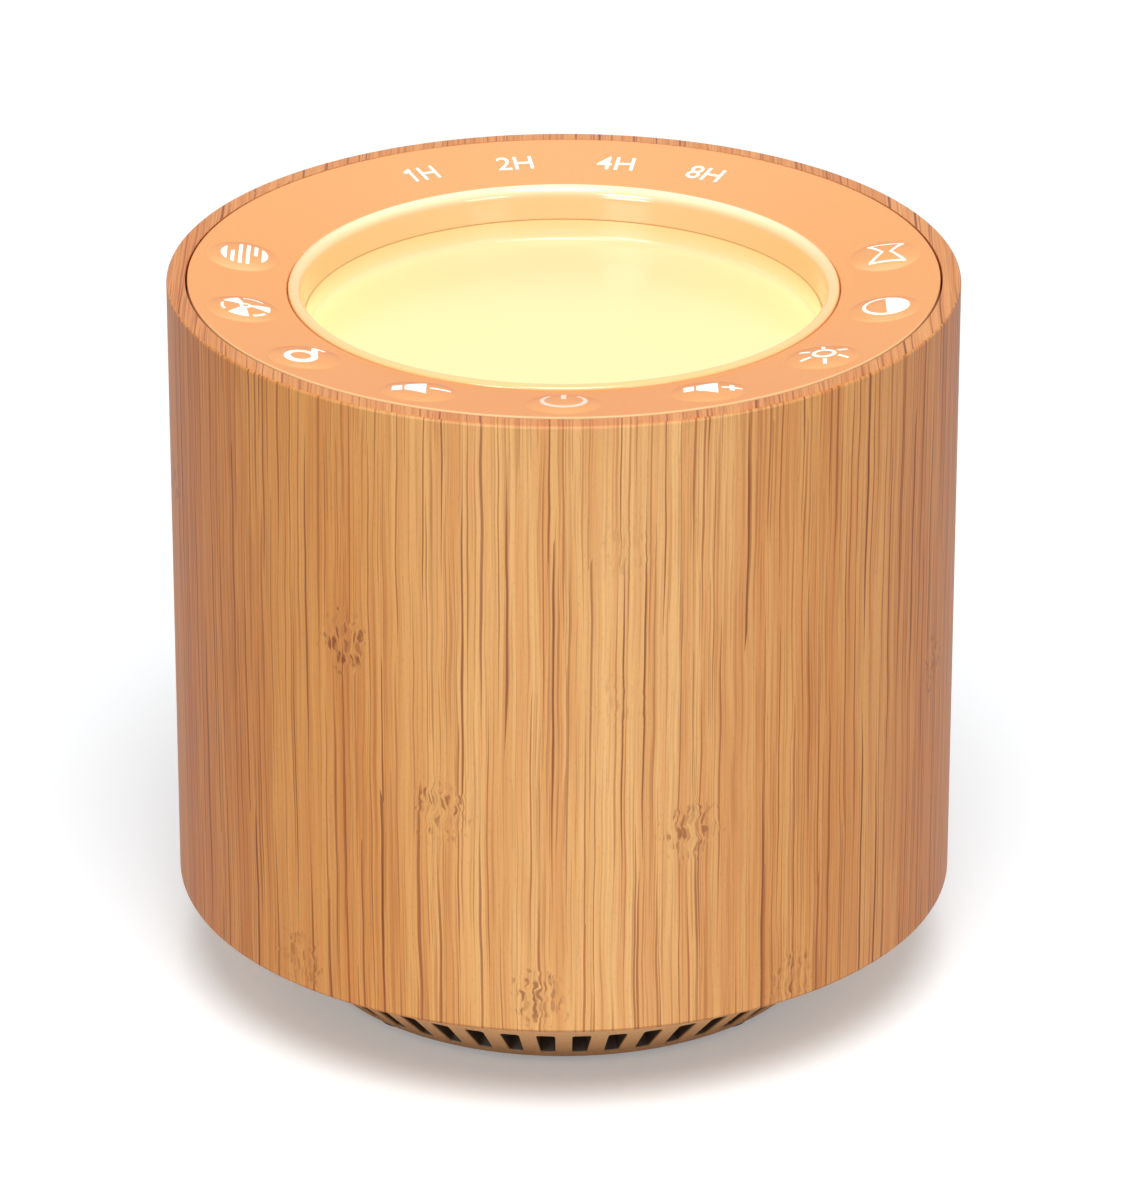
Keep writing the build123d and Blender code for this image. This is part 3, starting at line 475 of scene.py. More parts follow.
strips = clouds(STRIP_RATE, 1.0, 0.35, 0.65, 1.0)
streaks = clouds(STREAK_RATE, 2.0, 0.3, 0.7, STREAK_DEEP)
pores = clouds(PORE_RATE, 2.0, 0.55, 0.85, PORE_DEEP)
deep_share = node(tree, "Math", (strips, STRIP_DEEP, streaks), operation="MULTIPLY_ADD")[0]
surface = node(tree, "Mix", dict(Factor=deep_share, A=TAN_PALE, B=TAN_DEEP), **COLOURS)["Result"]
surface = node(tree, "Mix", dict(Factor=pores, A=surface, B=BUNDLE_PALE), **COLOURS)["Result"]
calm = node(tree, "Math", (at_node, -0.5, 1.0), operation="MULTIPLY_ADD")[0]
hair_strength = node(tree, "MapRange", (strips, 0, 1, 0.3, 0.75), **SMOOTH)[0]
fine_strength = node(tree, "MapRange", (strips, 0, 1, 0.4, 0.9), **SMOOTH)[0]
for layer, strength, colour in (
    (hair_lines, hair_strength, BUNDLE_PALE),
    (fine_lines, fine_strength, BUNDLE_PALE),
    (red_lines, 0.85, BUNDLE_RED),
    (dark_lines, 0.9, BUNDLE_DARK),
):
    share = node(tree, "Math", (layer, strength), operation="MULTIPLY")[0]
    share = node(tree, "Math", (share, calm), operation="MULTIPLY")[0]
    surface = node(tree, "Mix", dict(Factor=share, A=surface, B=colour), **COLOURS)["Result"]
share = node(tree, "Math", (dashes, DASH_DEEP), operation="MULTIPLY")[0]
surface = node(tree, "Mix", dict(Factor=share, A=surface, B=BUNDLE_DARK), **COLOURS)["Result"]
sunk = node(tree, "Math", (dark_lines, dashes), operation="ADD")[0]
relief = dict(Height=sunk, Strength=BUNDLE_BUMP, Distance=BUNDLE_SUNK * MM)
connect(tree, node(tree, "Bump", relief, invert=True)[0], shader, "Normal")
print("bamboo layers laid")

# %% [markdown]
# Painted highlight and shade: the wall is left palest where it faces the eye, for the broad
# highlight there, and two tints that follow the facing angle paint it a deeper brown towards its
# outline.  Painted side light: the tone changes from a warm orange on the left half to a paler tan
# on the right half.  The painted highlight and shade are left off the sawn rim, which has a redder
# cut.

# %% Bamboo: painted highlight and shade by the facing angle, and painted side light
OFF_CENTRE_SHADE_TINT, OUTLINE_SHADE_TINT, RIM_TINT = "#EFDEC8", "#E0BCA0", "#F4DACC"
LEFT_SIDE_SHADE_TINT, UNTINTED_WHITE = "#FDF5DE", "#FFFFFF"
OFF_CENTRE_SHADE_ENDS, OUTLINE_SHADE_ENDS, SIDE_LIGHT_ENDS = (0.1, 0.25), (0.3, 0.8), (-40.0, 30.0)
RIM_ENDS = (94.5 * MM, 94.7 * MM)

facing = node(tree, "LayerWeight", dict(Blend=0.5))["Facing"]
around = node(tree, "SeparateXYZ", (grain,))["X"]
height = node(tree, "SeparateXYZ", (node(tree, "TexCoord")["Object"],))["Z"]
off_centre_shade, edge, culm, rim = [
    node(tree, "MapRange", (value, *ends), **SMOOTH)[0]
    for value, ends in (
        (facing, OFF_CENTRE_SHADE_ENDS),
        (facing, OUTLINE_SHADE_ENDS),
        (around, SIDE_LIGHT_ENDS),
        (height, RIM_ENDS),
    )
]
# painted shade off the centre and towards the outline; the part facing the eye stays palest as a
# painted highlight
tint = node(tree, "Mix", dict(Factor=off_centre_shade, A=UNTINTED_WHITE, B=OFF_CENTRE_SHADE_TINT), **COLOURS)["Result"]
tint = node(tree, "Mix", dict(Factor=edge, A=tint, B=OUTLINE_SHADE_TINT), **COLOURS)["Result"]
# painted side light: the left half of the wall is warmer, the right half paler
culm = node(tree, "Mix", dict(Factor=culm, A=LEFT_SIDE_SHADE_TINT, B=UNTINTED_WHITE), **COLOURS)["Result"]
tint = node(tree, "VectorMath", (tint, culm), operation="MULTIPLY")[0]
tint = node(tree, "Mix", dict(Factor=rim, A=tint, B=RIM_TINT), **COLOURS)["Result"]
tinted = node(tree, "VectorMath", (surface, tint), operation="MULTIPLY")[0]
connect(tree, tinted, shader, "Base Color")
finish_with(tube, bamboo)
print("bamboo shader nodes:", len(tree.nodes))

# %% [markdown]
# ## Finishes of the other parts
#
# Each slot of the part's record names a real material.  One recipe serves them all: two close
# tones and a fine relief that follow the same grain.  What differs is the grain's pitch, its
# direction, its depth and the gloss.  Moulded plastics carry the fine pitting that a spark-eroded
# mould leaves, metals are drawn, turned or plated, and soft parts show their cells or threads.

# %% A recipe for grainy surfaces
GRAIN_ENDS, GRAIN_BUMP = (0.3, 0.7), 0.6


def grainy(name, pale, deep, pitch, roughness, relief, metallic=0.0, stretch=(1, 1, 1)):
    """A surface with two close tones and a fine relief, its pitch and relief in millimetres."""
    made, tree, shader = material(name, roughness, metallic=metallic)
    place = node(tree, "TexCoord")["Object"]
    per_grain = [part / (pitch * MM) for part in stretch]
    place = node(tree, "VectorMath", (place, per_grain), operation="MULTIPLY")[0]
    grains = node(tree, "TexNoise", dict(Vector=place, Scale=1.0, Detail=2.0))[0]
    share = node(tree, "MapRange", (grains, *GRAIN_ENDS), **SMOOTH)[0]
    tone = node(tree, "Mix", dict(Factor=share, A=pale, B=deep), **COLOURS)["Result"]
    connect(tree, tone, shader, "Base Color")
    bump = node(tree, "Bump", dict(Height=grains, Strength=GRAIN_BUMP, Distance=relief * MM))[0]
    connect(tree, bump, shader, "Normal")
    return made


print("recipe ready")

# %% Moulded and soft materials
ALONG = (1, 0.03, 0.03)
finishes = {
    # peach ABS from a finely eroded mould: soft and matt, with a barely visible sparkle
    "panel_plastic": grainy("matt_peach_abs", "#FBAF6B", "#F8AA66", 0.22, 0.52, 0.010),
    "key_plastic": grainy("matt_peach_key_abs", "#FBAF6B", "#F8AA66", 0.22, 0.5, 0.010),
    # ABS filled with white pigment from a polished mould, so that it throws light back
    "white_plastic": grainy("reflective_white_abs", "#F2F0EA", "#E9E6DE", 0.5, 0.4, 0.01),
    # structural ABS as moulded, with flow marks
    "grey_plastic": grainy("grey_abs", "#58585B", "#4C4C50", 0.5, 0.55, 0.03),
    # ABS from an eroded mould, sprayed to match the bamboo
    "brown_plastic": grainy("sprayed_tan_abs", "#F2BB84", "#E7AE78", 0.35, 0.6, 0.02),
    # glass-filled nylon, slightly mottled by its fibres
    "black_plastic": grainy("glass_filled_nylon", "#1C1C1E", "#141416", 0.5, 0.5, 0.02),
    # silicone with yellow phosphor, poured over the lamp chips
    "led_plastic": grainy("phosphor_gel", "#FFF0B4", "#F8E28E", 0.6, 0.35, 0.01),
    # nylon from a plain mould, uncoloured, so that it looks like ivory
    "header_plastic": grainy("ivory_nylon", "#EFEAD8", "#E4DDC6", 0.5, 0.45, 0.01),
    # polyester film over flat conductors, which show as lengthwise bands
    "ribbon_plastic": grainy("flat_cable_film", "#D6D8DB", "#AEB2B8", 1.0, 0.4, 0.03, 0, ALONG),
    # soft PVC drawn over stranded copper, which leaves long soft swellings
    "wire_plastic": grainy("pvc_insulation", "#C2281E", "#A81D16", 1.2, 0.4, 0.01),
    # butyl rubber, pressed in a heated mould: black and dull
    "soft_rubber": grainy("butyl_rubber", "#1D1D1D", "#121212", 0.4, 0.65, 0.01),
    # foamed polyethylene with closed cells
    "gasket_foam": grainy("closed_cell_foam", "#2A2A2A", "#151515", 0.35, 0.9, 0.06),
    # silicone feet with a dusty, matt skin
    "foot_rubber": grainy("matt_silicone", "#36332F", "#2A2725", 0.4, 0.75, 0.02),
}
print("moulded and soft finishes:", len(finishes))

# %% Metals, boards, paper and cloth
DRAWN, TURNED, WOUND = (1, 0.1, 1), (0.2, 0.2, 1), (0.02, 0.02, 1)
finishes |= {
    # pressed steel, zinc plated in a barrel, which leaves a light mottle
    "screw_steel": grainy("zinc_plated_steel", "#B9BABD", "#9FA1A6", 0.8, 0.35, 0.01, 1),
    # drawn steel with bright nickel
    "socket_steel": grainy("nickel_steel", "#CBCBC9", "#B5B5B2", 1.5, 0.25, 0.005, 1, DRAWN),
    # turned steel with zinc: fine rings of the tool
    "yoke_steel": grainy("turned_zinc_steel", "#A9ABB0", "#94969C", 0.5, 0.4, 0.01, 1, TURNED),
    # pressed steel under a dipped black paint
    "speaker_steel": grainy("dip_painted_steel", "#242427", "#1B1B1D", 0.6, 0.45, 0.02),
    # iron oxide, pressed and fired: dark grey, dull and finely pitted
    "ferrite": grainy("sintered_ferrite", "#303033", "#232326", 0.3, 0.6, 0.03),
    # enamelled copper, wound turn by turn, so that it shows fine rings
    "coil_copper": grainy("enamelled_copper", "#C77A45", "#8F4D28", 0.25, 0.3, 0.04, 1, WOUND),
    # glass-fibre board under a green solder mask, over the faint relief of its tracks
    "circuit_board": grainy("solder_mask", "#1F6B3B", "#17552E", 1.6, 0.35, 0.03),
    # paper pulp, pressed on a screen and dyed: soft, uneven black
    "cone_paper": grainy("pressed_pulp", "#262629", "#18181A", 0.7, 0.85, 0.06),
    # woven cotton, stiffened with resin: honey yellow with raised threads
    "spider_cloth": grainy("resin_cotton", "#CFAE66", "#B08E4A", 0.35, 0.8, 0.08),
    # open polyester mesh, which looks like a dark, rough skin from outside
    "screen_cloth": grainy("open_mesh_cloth", "#4A382A", "#2E2219", 0.45, 0.9, 0.08),
}
print("finishes:", len(finishes))

# %% [markdown]
# Painted light and shade on the peach skin: a face that leans to the front is painted paler and one
# that leans to the back deeper, which shades the keys' flanks and, more gently, the sloping panel.
# A painted highlight lies along the front part of the panel's outer edge.

# %% Painted light and shade on the peach skin by its lean
FLANK_PAINTED_LIGHT, FLANK_PAINTED_SHADE, FULL_LEAN = "#FFD298", "#E6834E", 0.45
EDGE_PAINTED_HIGHLIGHT, EDGE_HIGHLIGHT_HEIGHTS, EDGE_HIGHLIGHT_LEANS = "#FFC994", (94.872, 94.886), (0.04, 0.13)

for name in ("panel_plastic", "key_plastic"):
    tree = finishes[name].node_tree
    shader = tree.nodes["Principled BSDF"]
    skin = node(tree, "TexCoord")
    lean = node(tree, "SeparateXYZ", (skin["Normal"],))["Y"]
    height = node(tree, "SeparateXYZ", (skin["Object"],))["Z"]
    tone = shader.inputs["Base Color"].links[0].from_socket
    # painted light on flanks that lean to the front, painted shade on flanks that lean to the back
    for full_lean, flank in ((-FULL_LEAN, FLANK_PAINTED_LIGHT), (FULL_LEAN, FLANK_PAINTED_SHADE)):
        share = node(tree, "MapRange", (lean, 0.0, full_lean), **SMOOTH)[0]
        tone = node(tree, "Mix", dict(Factor=share, A=tone, B=flank), **COLOURS)["Result"]
    # a painted highlight along the front part of the panel's outer edge
    at_edge = [place * MM for place in EDGE_HIGHLIGHT_HEIGHTS]
    at_edge = node(tree, "MapRange", (height, *at_edge), **SMOOTH)[0]
    at_front = node(tree, "MapRange", (lean, *EDGE_HIGHLIGHT_LEANS), **SMOOTH)[0]
    share = node(tree, "Math", (at_edge, at_front), operation="MULTIPLY")[0]
    tone = node(tree, "Mix", dict(Factor=share, A=tone, B=EDGE_PAINTED_HIGHLIGHT), **COLOURS)["Result"]
    connect(tree, tone, shader, "Base Color")
print("skin tone follows the lean")

# %% [markdown]
# The walls of the base cone's slots are painted dark as shade, while its outer face keeps the
# bamboo tan.  How deep a point lies under the cone's face tells the one from the other.

# %% Painted shade on the walls of the base's slots
CONE_FOOT, CONE_BOTTOM, CONE_RUN, CONE_RISE = 33.0, 0.8, 13.0, 12.2
SLOT_SHADE_REACH, SLOTS_START, PAINTED_SLOT_SHADE = (0.12, 0.4), (1.5, 1.8), "#4E3A2A"

tree = finishes["brown_plastic"].node_tree
shader = tree.nodes["Principled BSDF"]
place = node(tree, "TexCoord")["Object"]
height = node(tree, "SeparateXYZ", (place,))["Z"]
steepness = CONE_RISE / CONE_RUN
cone_face = (away_from_axis(tree, place), steepness, (CONE_BOTTOM - CONE_FOOT * steepness) * MM)
cone_face = node(tree, "Math", cone_face, operation="MULTIPLY_ADD")[0]
under = node(tree, "Math", (height, cone_face), operation="SUBTRACT")[0]
under, above = [
    node(tree, "MapRange", (value, *[end * MM for end in ends]), **SMOOTH)[0]
    for value, ends in ((under, SLOT_SHADE_REACH), (height, SLOTS_START))
]
slot_shade = node(tree, "Math", (under, above), operation="MULTIPLY")[0]
sprayed = shader.inputs["Base Color"].links[0].from_socket
# painted shade in the slots
tone = node(tree, "Mix", dict(Factor=slot_shade, A=sprayed, B=PAINTED_SLOT_SHADE), **COLOURS)["Result"]
connect(tree, tone, shader, "Base Color")
print("slots stay dark")

# %% [markdown]
# ## The lamp
#
# The diffuser is a pan of milky polycarbonate over a ring of warm LEDs, and the bead round it is
# the same resin with less milk.  Light comes up through both, so they glow and shine on each other.
# A little emission stands for that light.  It is strongest on the pan's floor and fades up its
# wall, and a dip at its rim paints a dark hairline of shade.  Towards the back the skin and the
# glow are painted a warmer, deeper tone, as shade.  On the bead, a brighter glow at the back of the
# crest is a painted highlight.

# %% Milky plastic that glows
PAN_RIM, RIM_SLACK, RIM_HAIRLINE_SHADE_GLOW, CREST_FADE = 89.203, 0.02, 0.6, (34.75, 33.7)
CLOUDS_PER_METRE, MILK_MOTTLE = 45.0, 0.06


def glowing(name, skin, glow, upper, depths, heights, roughness):
    """Milky plastic that glows: pairs of tones (front, back) for its skin, its glow and its glow
    higher up; deeper back tones are painted shade, a brighter back tone higher up a painted
    highlight.
    """
    made, tree, shader = material(name, roughness, ior=1.58)
    place = node(tree, "TexCoord")["Object"]
    along = node(tree, "SeparateXYZ", (place,))
    cloud = node(tree, "TexNoise", dict(Vector=place, Scale=CLOUDS_PER_METRE, Detail=2.0))[0]
    cloud = node(tree, "Math", (cloud, MILK_MOTTLE, -MILK_MOTTLE / 2), operation="MULTIPLY_ADD")[0]
    depth, height, inward = [
        node(tree, "MapRange", (value, *[end * MM for end in ends]), **SMOOTH)[0]
        for value, ends in (
            (along["Y"], depths),
            (along["Z"], heights),
            (away_from_axis(tree, place), CREST_FADE),
        )
    ]
    depth = node(tree, "Math", (depth, cloud), operation="ADD")[0]
    height = node(tree, "Math", (height, inward), operation="MULTIPLY")[0]
    skin, glow, upper = [
        node(tree, "Mix", dict(Factor=depth, A=front, B=back), **COLOURS)["Result"]
        for front, back in (skin, glow, upper)
    ]
    glow = node(tree, "Mix", dict(Factor=height, A=glow, B=upper), **COLOURS)["Result"]
    # a dip in the glow at the pan's rim paints a dark hairline of shade in the gap round it
    at_rim = (along["Z"], PAN_RIM * MM, RIM_SLACK * MM)
    at_rim = node(tree, "Math", at_rim, operation="COMPARE")[0]
    strength = node(tree, "MapRange", (at_rim, 0, 1, 1.0, RIM_HAIRLINE_SHADE_GLOW), **SMOOTH)[0]
    connect(tree, skin, shader, "Base Color")
    connect(tree, glow, shader, "Emission Color")
    connect(tree, strength, shader, "Emission Strength")
    return made


# the deeper tones towards the back are painted shade
milk = glowing(
    "milky_polycarbonate",
    skin=("#B8A878", "#B8A478"),
    glow=("#D1BB80", "#CEA880"),
    upper=("#BC9C64", "#BC9C64"),
    depths=(0, 33),
    heights=(86.9, 89.2),
    roughness=0.25,
)
# the bright glow higher up at the back of the crest is a painted highlight; the deeper back skin is
# painted shade
resin = glowing(
    "clear_warm_resin",
    skin=("#FFD28E", "#FFC693"),
    glow=("#463C26", "#463824"),
    upper=("#463C26", "#C0BCA8"),
    depths=(-6, 33),
    heights=(92.3, 93.6),
    roughness=0.15,
)
finishes["lamp_plastic"] = resin
print("glowing:", milk.name, resin.name)

# %% Finish every engineering part
slot_of = {part["node"]: part["material_slot"] for part in frame["record"]["subparts"]}
for name, part in nodes.items():
    finish_with(part, finishes.get(slot_of[name], bamboo))
finish_with(nodes["lamp_diffuser"], milk)
print("finished", len(nodes), "parts")

# %% [markdown]
# ## The bead round the lamp
#
# A translucent ring closes the gap between panel and lamp.  Its crest is a soft, uneven roll: short
# on the outside, where it drops to the panel, and long on the inside, where it runs down into the
# dish.  Two quarter ellipses give that section, and the lathe turns it.

# %% Turn the bead
BEAD_OUTER, BEAD_CREST, BEAD_TOP = 34.75, 34.0, 93.603
OUTER_DROP, INNER_RUN, INNER_DROP = 0.55, 1.18, 2.1
THROAT, BEAD_FOOT, THROAT_WIDENS, THROAT_HEIGHT = 32.75, 89.353, 0.02, 0.9
FLANGE, FLANGE_TOP, FLANGE_FALL, FLANGE_FOOT, PAN_OUTER = 36.3, 91.45, 0.15, 89.603, 34.1
ROLL_STEPS = 10

quarter = [math.pi / 2 * step / ROLL_STEPS for step in range(ROLL_STEPS + 1)]
inner_roll = [
    (BEAD_CREST - INNER_RUN * math.cos(a), BEAD_TOP - INNER_DROP * (1 - math.sin(a)))
    for a in quarter
]
outer_roll = [
    (
        BEAD_CREST + (BEAD_OUTER - BEAD_CREST) * math.sin(a),
        BEAD_TOP - OUTER_DROP * (1 - math.cos(a)),
    )
    for a in quarter[1:]
]
skirt = [
    (BEAD_OUTER, FLANGE_TOP - FLANGE_FALL),
    (FLANGE, FLANGE_TOP),
    (FLANGE, FLANGE_FOOT),
    (PAN_OUTER, FLANGE_FOOT),
    (PAN_OUTER, BEAD_FOOT),
]
throat = [(THROAT, BEAD_FOOT), (THROAT + THROAT_WIDENS, BEAD_FOOT + THROAT_HEIGHT)]
lamp_bead = turn("lamp_bead", throat + inner_roll + outer_roll + skirt, steps=320)
finish_with(lamp_bead, resin)
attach(lamp_bead, "housing")
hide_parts("lamp_bezel")
print("bead faces:", len(lamp_bead.data.polygons))

# %% [markdown]
# ## The keys
#
# Each key is a round shell with a low dome on top, a little flatter than a sphere in the middle and
# steeper at its edge, and it leans with the panel.  It comes from a cylinder that is trimmed by a
# turned dome and hollowed from below, where a stem meets the switch.  Two ears hold it under the
# panel.  One key is made at the right of the ring and copied to nine places.

# %% Where the keys are
KEY_CIRCLE, KEY_RADIUS, KEY_SIDES = 41.4, 4.65, 144
DOME, DOME_EDGE, DOME_POWER, DOME_LIFT, DOME_STEPS = 0.6, 4.6, 2.4, 0.02, 16
KEY_FIT, KEY_SHELL, KEY_DEPTH = 0.05, 1.2, 3.46
STEM_RADIUS, STEM_FOOT, STEM_HOLD = 1.5, 89.597, 0.5
EAR_LENGTH, EAR_REACH, EAR_GAP, EAR_HOLD = 5.0, 1.25, 0.2, 0.3
PANEL_OUTER, PANEL_SLOPE, PANEL_TOP, PANEL_WALL = 47.4, 8.0, 94.9, 1.8
KEYS = "noise fan music volume_down power volume_up brightness colour timer".split()
key_angles = {name: -190 + 25 * i for i, name in enumerate(KEYS)}


def panel_height(radius):
    """Height of the panel's face at a radius."""
    return PANEL_TOP - (PANEL_OUTER - radius) * math.tan(math.radians(PANEL_SLOPE))


FACE = panel_height(KEY_CIRCLE)
print("key face at", round(FACE, 3))

# %% Simple solids to cut with


def disc(radius, place=(0, 0), low=-2.0, high=2.0, sides=72):
    """An upright cylinder between two heights."""
    bpy.ops.object.select_all(action="DESELECT")
    bpy.ops.mesh.primitive_cylinder_add(
        vertices=sides,
        radius=radius * MM,
        depth=(high - low) * MM,
        location=(place[0] * MM, place[1] * MM, (low + high) / 2 * MM),
    )
    return bake_place(bpy.context.object)


def bar(width, height, place=(0, 0), turned=0.0, low=-2.0, high=2.0):
    """An upright block between two heights, turned in its place."""
    bpy.ops.object.select_all(action="DESELECT")
    bpy.ops.mesh.primitive_cube_add(
        size=MM,
        location=(place[0] * MM, place[1] * MM, (low + high) / 2 * MM),
        rotation=(0, 0, math.radians(turned)),
        scale=(width, height, high - low),
    )
    return bake_place(bpy.context.object)


def mound(lift=0.0, angle=0.0):
    """What lies under a key's face, or this much above it, at this place of the ring."""
    axis, reach, deep = 0.0001, 7.0, -6.0
    lift += DOME_LIFT
    shares = [1 - step / DOME_STEPS for step in range(DOME_STEPS)]
    crown = [(DOME_EDGE * share, lift + DOME * (1 - share**DOME_POWER)) for share in shares]
    flanks = [(axis, deep), (reach, deep), (reach, lift)]
    solid = turn("mound", flanks + crown + [(axis, lift + DOME)], steps=KEY_SIDES)
    pick(solid, "verts", lambda vert: True)
    bpy.ops.mesh.delete_loose(use_verts=True, use_edges=True, use_faces=False)
    only(solid)
    solid.data.transform(Matrix.Rotation(math.radians(-PANEL_SLOPE), 4, "Y"))
    solid.data.transform(Matrix.Translation((KEY_CIRCLE * MM, 0, FACE * MM)))
    solid.data.transform(Matrix.Rotation(math.radians(angle), 4, "Z"))
    return solid


def ring(outer, inner, place=(0, 0), low=-2.0, high=2.0):
    """An upright ring between two heights."""
    piece = turn("ring", [(outer, low), (outer, high), (inner, high), (inner, low)], steps=72)
    piece.data.transform(Matrix.Translation((place[0] * MM, place[1] * MM, 0)))
    return piece


def joined(*solids):
    """Fuses several solids into one."""
    whole = solids[0]
    for solid in solids[1:]:
        carve(whole, solid, "UNION")
    return whole


print("cutting solids ready")

# %% Make one key and copy it
key_bottom = FACE - KEY_DEPTH
hollow_top = FACE - KEY_SHELL
at_key = (KEY_CIRCLE, 0)

first_key = disc(KEY_RADIUS + KEY_FIT, at_key, key_bottom, FACE + PANEL_WALL, sides=KEY_SIDES)
carve(first_key, mound(), "INTERSECT")
hollow = ring(KEY_RADIUS - KEY_SHELL, STEM_RADIUS, at_key, key_bottom - 1, hollow_top)
carve(first_key, hollow)
ears_top = panel_height(KEY_CIRCLE - EAR_LENGTH / 2) - PANEL_WALL - EAR_GAP
ears = bar(EAR_LENGTH, 2 * (KEY_RADIUS + EAR_REACH), at_key, low=key_bottom, high=ears_top)
carve(ears, disc(KEY_RADIUS - EAR_HOLD, at_key, key_bottom - 1, FACE))
joined(first_key, ears, disc(STEM_RADIUS, at_key, STEM_FOOT, key_bottom + STEM_HOLD))
tidy(first_key, angle=30)
finish_with(first_key, finishes["key_plastic"])

for name, angle in key_angles.items():
    cap = bpy.data.objects.new(name + "_cap", first_key.data.copy())
    bpy.context.scene.collection.objects.link(cap)
    cap.data.transform(Matrix.Rotation(math.radians(angle), 4, "Z"))
    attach(cap, name + "_button")
    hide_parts(name + "_key")
print("keys:", len(key_angles), "of", len(first_key.data.polygons), "faces")
bpy.data.objects.remove(first_key)

# %% [markdown]
# ## Signs on the keys
#
# The keys are two-shot mouldings: a white, light-guiding core comes up through the peach skin and
# shows as the sign.  Each sign is cut from simple solids that stand through the key's top, joined
# with Booleans, and then trimmed by the same mound, a hair higher, so that its face follows the
# key's face exactly.

# %% Outlines and sectors


def outline(points):
    """An upright prism: a flat face, its corners set on this outline, is extruded upwards."""
    bpy.ops.object.select_all(action="DESELECT")
    bpy.ops.mesh.primitive_circle_add(vertices=len(points), radius=MM, fill_type="NGON")
    piece = bpy.context.object
    for vert, (x, y) in zip(piece.data.vertices, points):
        vert.co = Vector((x, y, -2)) * MM
    pick(piece, "faces", lambda face: True)
    bpy.ops.mesh.extrude_region_move(TRANSFORM_OT_translate={"value": (0, 0, 4 * MM)})
    bpy.ops.mesh.select_all(action="SELECT")
    bpy.ops.mesh.normals_make_consistent(inside=False)
    return only(piece)


def polar(radius, turned):
    """A place given by its distance and direction."""
    return radius * math.cos(math.radians(turned)), radius * math.sin(math.radians(turned))


def wedge(start, stop, reach=6.0, steps=24):
    """Corner points of a sector, from one direction to another, in degrees."""
    turns = [start + (stop - start) * step / steps for step in range(steps + 1)]
    return [(0, 0)] + [polar(reach, turned) for turned in turns]


print("outlines ready")

# %% [markdown]
# Nine signs: sound bars in a disc, a fan, a note, a loudspeaker with minus and plus, the power
# sign, a sun, a half-filled disc for the light's colour, and an hourglass.

# %% Draw the signs: sound bars, fan, note and loudspeaker


def noise_sign():
    """A disc cut into bars, two of them shortened."""
    sign = disc(3.0)
    for x in (-1.95, -0.97, 0.0, 0.97, 1.95):
        carve(sign, bar(0.5, 8, (x, 0)))
    carve(sign, bar(0.8, 4, (-1.46, 2.4)))
    return carve(sign, bar(0.8, 4, (1.46, -2.6)))


def sector(solid, start, stop):
    """Keeps what lies between two directions."""
    return carve(solid, outline(wedge(stop, start + 360)))


def fan_sign():
    """Three blades round a hub, with short arcs between them."""
    blades = [sector(ring(3.1, 0.35), *ends) for ends in ((110, 154), (-18, 18), (-131, -80))]
    arcs = [sector(ring(3.1, 2.75), *ends) for ends in ((46, 98), (167, 210), (-68, -32))]
    return joined(ring(0.75, 0.35), *blades, *arcs)


def note_sign():
    """A note: a ring for its head, a stem and a flag."""
    flag = outline([(1.0, 3.0), (1.0, 2.4), (2.3, 1.75), (2.5, 2.3), (1.6, 2.75)])
    return joined(ring(2.1, 1.3, (-0.45, -0.9)), bar(0.8, 3.96, (1.15, 1.13)), flag)


def loudspeaker(*strokes_beside):
    """A loudspeaker seen from the side, with strokes beside it."""
    horn = outline([(-1.82, -0.95), (-1.82, 0.95), (0.8, 2.15), (0.8, -2.15)])
    return joined(bar(1.27, 1.9, (-2.74, 0)), horn, *strokes_beside)


print("half of the signs ready")

# %% Draw the signs: power, sun, half disc and hourglass


def power_sign():
    """A ring that is open at the top, and a stroke."""
    sign = sector(ring(2.9, 2.36), 130, 410)
    return joined(sign, bar(0.66, 2.7, (0, 1.6)))


def sun_sign():
    """A ring and six rays."""
    turns = (90, 30, -30, -90, -150, 150)
    return joined(ring(1.52, 1.02), *[bar(1.4, 0.48, polar(2.68, a), a) for a in turns])


def half_disc_sign():
    """A ring whose right half is filled."""
    left = carve(ring(2.96, 2.54), bar(4, 8, (2.0, 0)))
    return joined(left, carve(disc(2.96), bar(4, 8, (-1.98, 0))))


def hourglass_sign():
    """The outline of an hourglass."""
    half_outer = [(-2.35, 2.9), (2.35, 2.9), (2.35, 2.55), (0.72, 0.0), (2.35, -2.55)]
    half_inner = [(-1.85, 2.58), (1.85, 2.58), (0.34, 0.0)]
    outer, inner = [half + [(-x, -y) for x, y in half] for half in (half_outer, half_inner)]
    return carve(outline(outer), outline(inner))


# each sign with its shift from the key's middle
signs = {
    "noise": (noise_sign, 0.27, 0.0),
    "fan": (fan_sign, 0.36, -0.05),
    "music": (note_sign, 0.0, 0.0),
    "volume_down": (lambda: loudspeaker(bar(2.5, 0.5, (2.5, 0))), 0.05, 0.0),
    "power": (power_sign, 0.0, 0.0),
    "volume_up": (lambda: loudspeaker(bar(2.5, 0.5, (2.5, 0)), bar(0.6, 2.3, (2.5, 0))), 0.4, 0.0),
    "brightness": (sun_sign, 0.2, 0.0),
    "colour": (half_disc_sign, 0.16, 0.0),
    "timer": (hourglass_sign, 0.15, 0.2),
}
print("signs drawn:", len(signs))

# %% [markdown]
# The signs stand upright in plan on every key.  The power sign's core is unlit while the machine
# runs, so it shows the plain, slightly pink resin.

